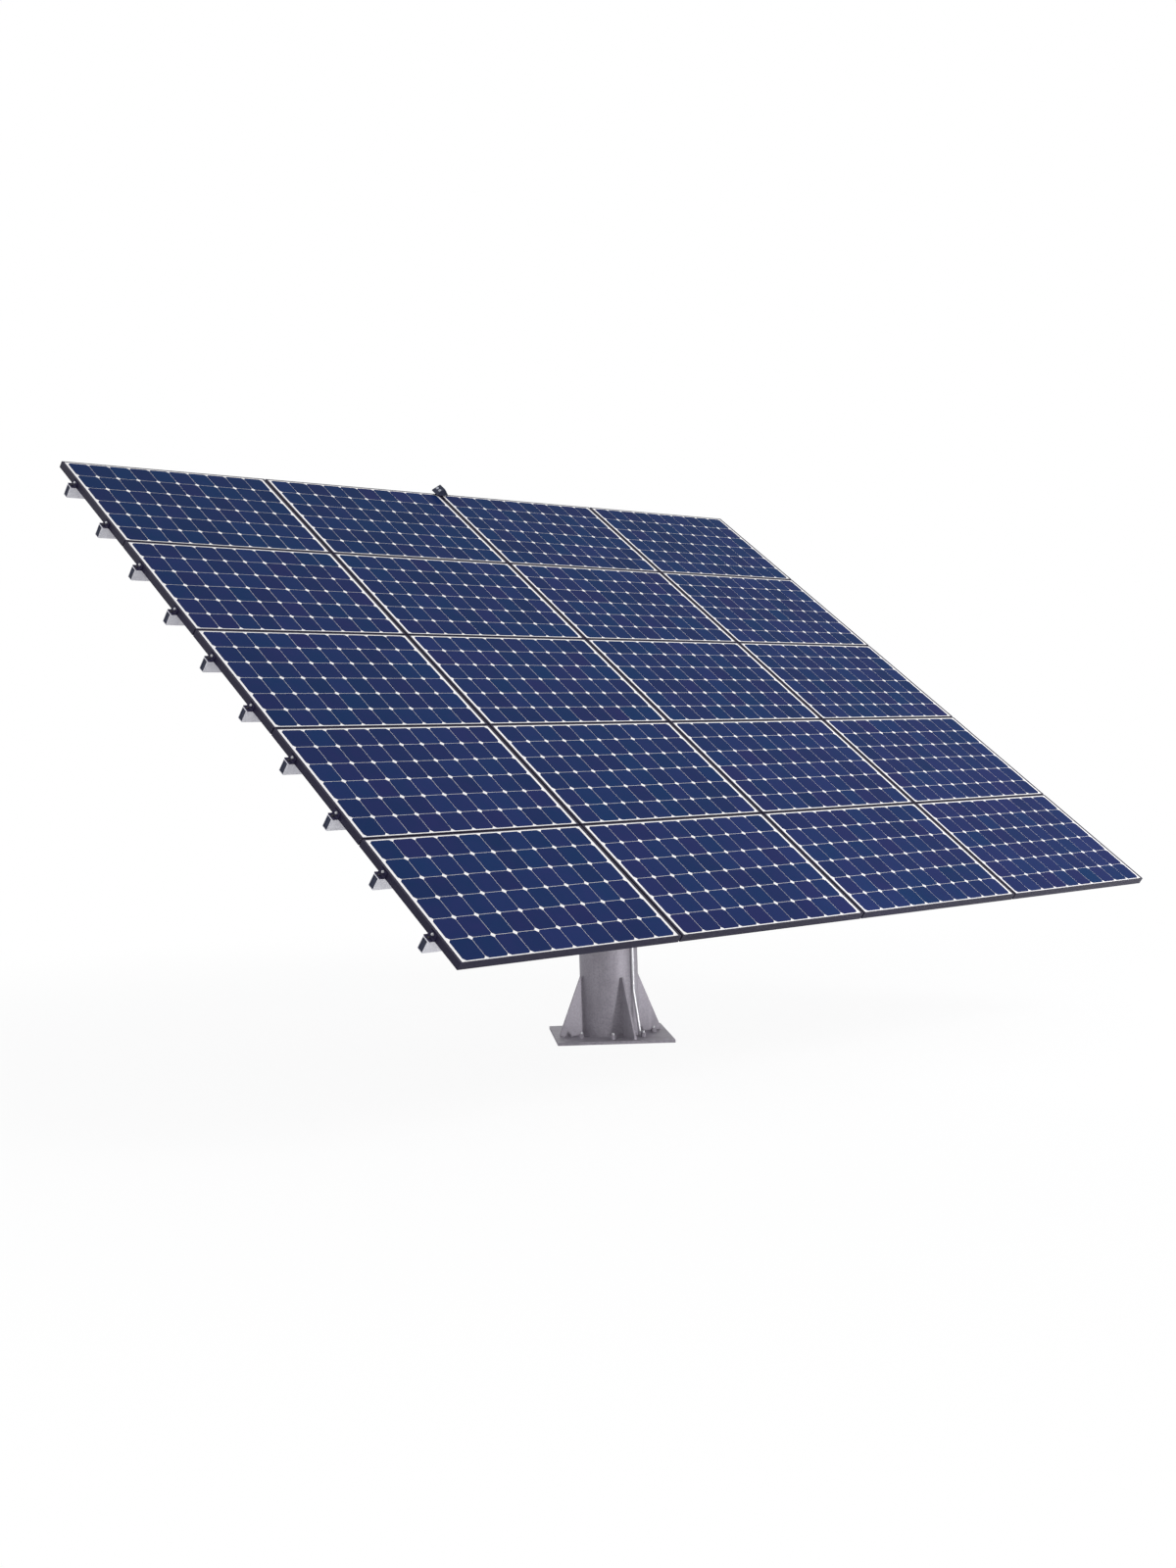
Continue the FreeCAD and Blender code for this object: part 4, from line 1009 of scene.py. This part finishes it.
class TRACKER_OT_frame_bolts(bpy.types.Operator):
    """Bolt the feet of the module frames to the purlins"""

    bl_idname = "tracker.frame_bolts"
    bl_label = "Frame Bolts"

    def execute(self, context):
        sizes = context.scene.tracker_sizes
        seat = PURLIN_MIDDLE + sizes.purlin_depth / 2
        wall_clearance = 0.002
        inset = sizes.module_length / 2 - sizes.module_foot / 2 - wall_clearance
        along = np.concatenate([COLUMN_LINES - inset, COLUMN_LINES + inset])
        u, w = np.meshgrid(along, PURLIN_LINES, indexing="ij")
        u = u.ravel()
        w = w.ravel()
        head = hex_bolt(*FLAT_HEAD_M8)
        spots = np.column_stack([u, w, np.full(len(u), seat + sizes.foot_thickness)])
        shapes = [on_table(placed(head, spots, (0, 0, 1)))]
        make_piece("frame_bolts", shapes, finish("bright_zinc_finish"), "table")
        return {"FINISHED"}


class TRACKER_OT_welds(bpy.types.Operator):
    """Lay the weld beads of pole, gussets and torque tube"""

    bl_idname = "tracker.welds"
    bl_label = "Weld Beads"

    stand_off: length_property("Stand-off", "Distance of a bead's middle from both faces", 0.001)

    def execute(self, context):
        sizes = context.scene.tracker_sizes
        size = sizes.weld_size
        ripple = sizes.weld_ripple
        base = sizes.plate_thickness
        pole = sizes.pole_diameter / 2
        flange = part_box("pole_flange")[0][2]
        off = self.stand_off
        beads = [weld(ring_path(pole + off, base + off), size, ripple),
                 weld(ring_path(pole + off, flange - off), size, ripple)]
        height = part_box("gussets")[1][2]
        lines = self.gusset_lines(sizes, pole, base, height)
        beads += [weld(line, size * 0.8, ripple) for line in lines]
        make_piece("pole_welds", beads, finish("galvanised_finish"), "base",
                   crease=60.0)
        tube = sizes.tube_diameter / 2
        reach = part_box("tilt_ring")[1][0] + sizes.tube_flange
        rim_inset = 0.002
        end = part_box("torque_tube_right")[1][0] - 2 * rim_inset
        beads = []
        for side in (-1, 1):
            bead = weld(ring_path(tube + off, side * (reach + off), "x"), size, ripple)
            beads.append(on_table(bead))
            rim = weld(ring_path(tube - rim_inset, side * end, "x"), size * 0.55, ripple)
            beads.append(on_table(rim))
        make_piece("tube_welds", beads, finish("galvanised_finish"), "table",
                   crease=60.0)
        return {"FINISHED"}

    def gusset_lines(self, sizes, pole, base, height):
        """Both sides of every gusset, up the pole and out along the plate."""
        lines = []
        off = self.stand_off
        offset = sizes.gusset_thickness / 2 + off
        start = sizes.gusset_snipe + 2 * off
        stop = sizes.gusset_reach - 4 * off
        for number in range(4):
            turn = math.radians(sizes.gusset_turn + 90.0 * number)
            out = np.array([math.cos(turn), math.sin(turn), 0.0])
            across = np.array([-math.sin(turn), math.cos(turn), 0.0])
            face = math.sqrt(pole * pole - offset * offset)
            for side in (-1, 1):
                foot = out * face + across * side * offset
                upright = [foot + (0, 0, base + start), foot + (0, 0, height - 4 * off)]
                level = np.array([0, 0, base + off])
                flat = [out * (pole + start) + across * side * offset + level,
                        out * (pole + stop) + across * side * offset + level]
                lines += [np.array(upright), np.array(flat)]
        return lines


class TRACKER_OT_sensor_eyes(bpy.types.Operator):
    """Set the light cells on both slopes of the sun sensor"""

    bl_idname = "tracker.sensor_eyes"
    bl_label = "Sensor Light Cells"

    def execute(self, context):
        sizes = context.scene.tracker_sizes
        low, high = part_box("sun_sensor")
        edge = ROW_LINES[-1] + sizes.module_width / 2
        line = edge - sizes.sensor_setback + sizes.sensor_depth / 2
        half = (high[0] - low[0]) / 2
        foot = LAMINATE_MIDDLE + sizes.frame_stand + sizes.sensor_lift
        shoulder = foot + sizes.sensor_shoulder
        rise = sizes.sensor_ridge
        slope = math.atan2(rise, half)
        half_spacing = 0.017
        steps = 20
        profile = np.array([(0.0, 0.0125), (0.002, 0.0125), (0.004, 0.0105), (0.0062, 0.006),
                            (0.0068, 0.002)])
        dome = turned(profile[:, 0], np.broadcast_to(profile[:, 1:], (len(profile), steps)))
        shapes = []
        for side in (-1, 1):
            normal = (side * math.sin(slope), 0.0, math.cos(slope))
            spots = [(side * half * 0.52, line + step, shoulder + rise * 0.48)
                     for step in (-half_spacing, half_spacing)]
            shapes.append(on_table(placed(dome, spots, normal)))
        make_piece("sensor_eyes", shapes, finish("lens_finish"), "table")
        return {"FINISHED"}


class TRACKER_OT_stage(bpy.types.Operator):
    """Set the floor, the soft light and the camera"""

    bl_idname = "tracker.stage"
    bl_label = "Stage"

    def execute(self, context):
        stage = context.scene.tracker_stage
        self.floor(stage)
        self.sky(context.scene, stage)
        low, high = (np.array(corner) for corner in CAD_BOX)
        for name, place, width, setting in LAMPS:
            light = bpy.data.lights.new(name, "AREA")
            light.shape = "DISK"
            light.size = width
            light.energy = getattr(stage, setting)
            self.hang(light, place, (low + high) / 2)
        light = bpy.data.lights.new("foot_lamp", "SPOT")
        light.energy = stage.foot_strength
        light.spot_size = FOOT_LAMP_SPREAD
        light.spot_blend = 1.0
        light.shadow_soft_size = 0.5
        self.hang(light, FOOT_LAMP_PLACE, FOOT_LAMP_TARGET)
        self.camera(context.scene, stage)
        context.scene.view_settings.view_transform = "Standard"
        return {"FINISHED"}

    @staticmethod
    def floor(stage):
        """Round floor whose own colour fades to plain white away from the tracker."""
        count = 96
        points = np.column_stack([circle_points(stage.floor_radius, count), np.zeros(count)])
        mesh = bpy.data.meshes.new("floor")
        mesh.from_pydata(points.tolist(), [], [list(range(count))])
        floor = bpy.data.objects.new("floor", mesh)
        bpy.context.scene.collection.objects.link(floor)
        material, tree, shader, place = new_finish("floor_finish", {
            "Roughness": 0.9, "Specular IOR Level": 0.0})
        shader.inputs["Base Color"].default_value = (*stage.floor_colour, 1.0)
        length = add_node(tree, "ShaderNodeVectorMath", {0: place}, operation="LENGTH")
        far = add_node(tree, "ShaderNodeMapRange", {
            "Value": length.outputs["Value"], "From Min": 3.5, "From Max": 9.0,
            "To Min": stage.floor_white},
            interpolation_type="SMOOTHSTEP")
        seen = add_node(tree, "ShaderNodeLightPath").outputs["Is Camera Ray"]
        share = add_node(tree, "ShaderNodeMath", {0: far.outputs["Result"], 1: seen},
                         operation="MULTIPLY")
        white = add_node(tree, "ShaderNodeEmission", {"Color": (1, 1, 1, 1), "Strength": 1.0})
        mix = add_node(tree, "ShaderNodeMixShader", {
            0: share.outputs["Value"], 1: shader.outputs["BSDF"], 2: white.outputs["Emission"]})
        tree.links.new(mix.outputs["Shader"], tree.nodes["Material Output"].inputs["Surface"])
        mesh.materials.append(material)

    @staticmethod
    def sky(scene, stage):
        """Even light, seen as plain white directly, in gloss and through glass."""
        world = bpy.data.worlds.new("studio")
        world.use_nodes = True
        scene.world = world
        tree = world.node_tree
        tree.nodes.clear()
        path = add_node(tree, "ShaderNodeLightPath")
        direct = add_node(tree, "ShaderNodeMath", {
            0: path.outputs["Is Camera Ray"], 1: path.outputs["Is Glossy Ray"]},
            operation="MAXIMUM")
        seen = add_node(tree, "ShaderNodeMath", {
            0: direct.outputs["Value"], 1: path.outputs["Is Transmission Ray"]},
            operation="MAXIMUM")
        light = add_node(tree, "ShaderNodeBackground", {
            "Color": (0.96, 0.97, 1.0, 1.0), "Strength": stage.sky_strength})
        white = add_node(tree, "ShaderNodeBackground", {"Color": (1, 1, 1, 1), "Strength": 1.0})
        mix = add_node(tree, "ShaderNodeMixShader", {
            0: seen.outputs["Value"], 1: light.outputs["Background"],
            2: white.outputs["Background"]})
        out = add_node(tree, "ShaderNodeOutputWorld")
        tree.links.new(mix.outputs["Shader"], out.inputs["Surface"])

    @staticmethod
    def hang(light, place, target):
        """Hang a lamp at its place, turned so that its -Z axis points at the target."""
        lamp = bpy.data.objects.new(light.name, light)
        bpy.context.scene.collection.objects.link(lamp)
        aim = np.subtract(target, place)
        level = math.hypot(aim[0], aim[1])
        lamp.location = place
        lamp.rotation_euler = (math.atan2(level, -aim[2]), 0.0, math.atan2(-aim[0], aim[1]))

    @staticmethod
    def camera(scene, stage):
        """Camera at the photograph's angle."""
        data = bpy.data.cameras.new("camera")
        data.lens = stage.camera_lens
        data.shift_x, data.shift_y = stage.camera_shift
        data.clip_end = 500.0
        camera = bpy.data.objects.new("camera", data)
        scene.collection.objects.link(camera)
        camera.location = stage.camera_place
        camera.rotation_euler = stage.camera_turn
        scene.camera = camera


OPERATORS = (
    TRACKER_OT_finishes,
    TRACKER_OT_cells,
    TRACKER_OT_end_lips,
    TRACKER_OT_anchors,
    TRACKER_OT_drive_bolts,
    TRACKER_OT_motor_shells,
    TRACKER_OT_tube_bolts,
    TRACKER_OT_u_bolts,
    TRACKER_OT_purlin_bolts,
    TRACKER_OT_purlin_plugs,
    TRACKER_OT_clamp_bolts,
    TRACKER_OT_frame_bolts,
    TRACKER_OT_welds,
    TRACKER_OT_sensor_eyes,
    TRACKER_OT_stage,
)


class TRACKER_PT_panel(bpy.types.Panel):
    """Steps and settings of the tracker's finish"""

    bl_idname = "TRACKER_PT_panel"
    bl_label = "Solar Tracker"
    bl_space_type = "VIEW_3D"
    bl_region_type = "UI"
    bl_category = "Tracker"

    def draw(self, context):
        layout = self.layout
        for step in OPERATORS:
            layout.operator(step.bl_idname)
        for group in (context.scene.tracker_sizes, context.scene.tracker_colours,
                      context.scene.tracker_stage):
            box = layout.box()
            for name in group.__annotations__:
                box.prop(group, name)


CLASSES = (TrackerSizes, TrackerColours, TrackerStage, *OPERATORS, TRACKER_PT_panel)


def register():
    """Register the classes and hang the settings on the scene."""
    for item in CLASSES:
        bpy.utils.register_class(item)
    bpy.types.Scene.tracker_sizes = bpy.props.PointerProperty(type=TrackerSizes)
    bpy.types.Scene.tracker_colours = bpy.props.PointerProperty(type=TrackerColours)
    bpy.types.Scene.tracker_stage = bpy.props.PointerProperty(type=TrackerStage)


def unregister():
    """Take the settings and classes away again."""
    del bpy.types.Scene.tracker_stage
    del bpy.types.Scene.tracker_colours
    del bpy.types.Scene.tracker_sizes
    for item in reversed(CLASSES):
        bpy.utils.unregister_class(item)


def main():
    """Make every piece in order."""
    register()
    for step in OPERATORS:
        group, name = step.bl_idname.split(".")
        getattr(getattr(bpy.ops, group), name)()


if __name__ == "__main__":
    main()
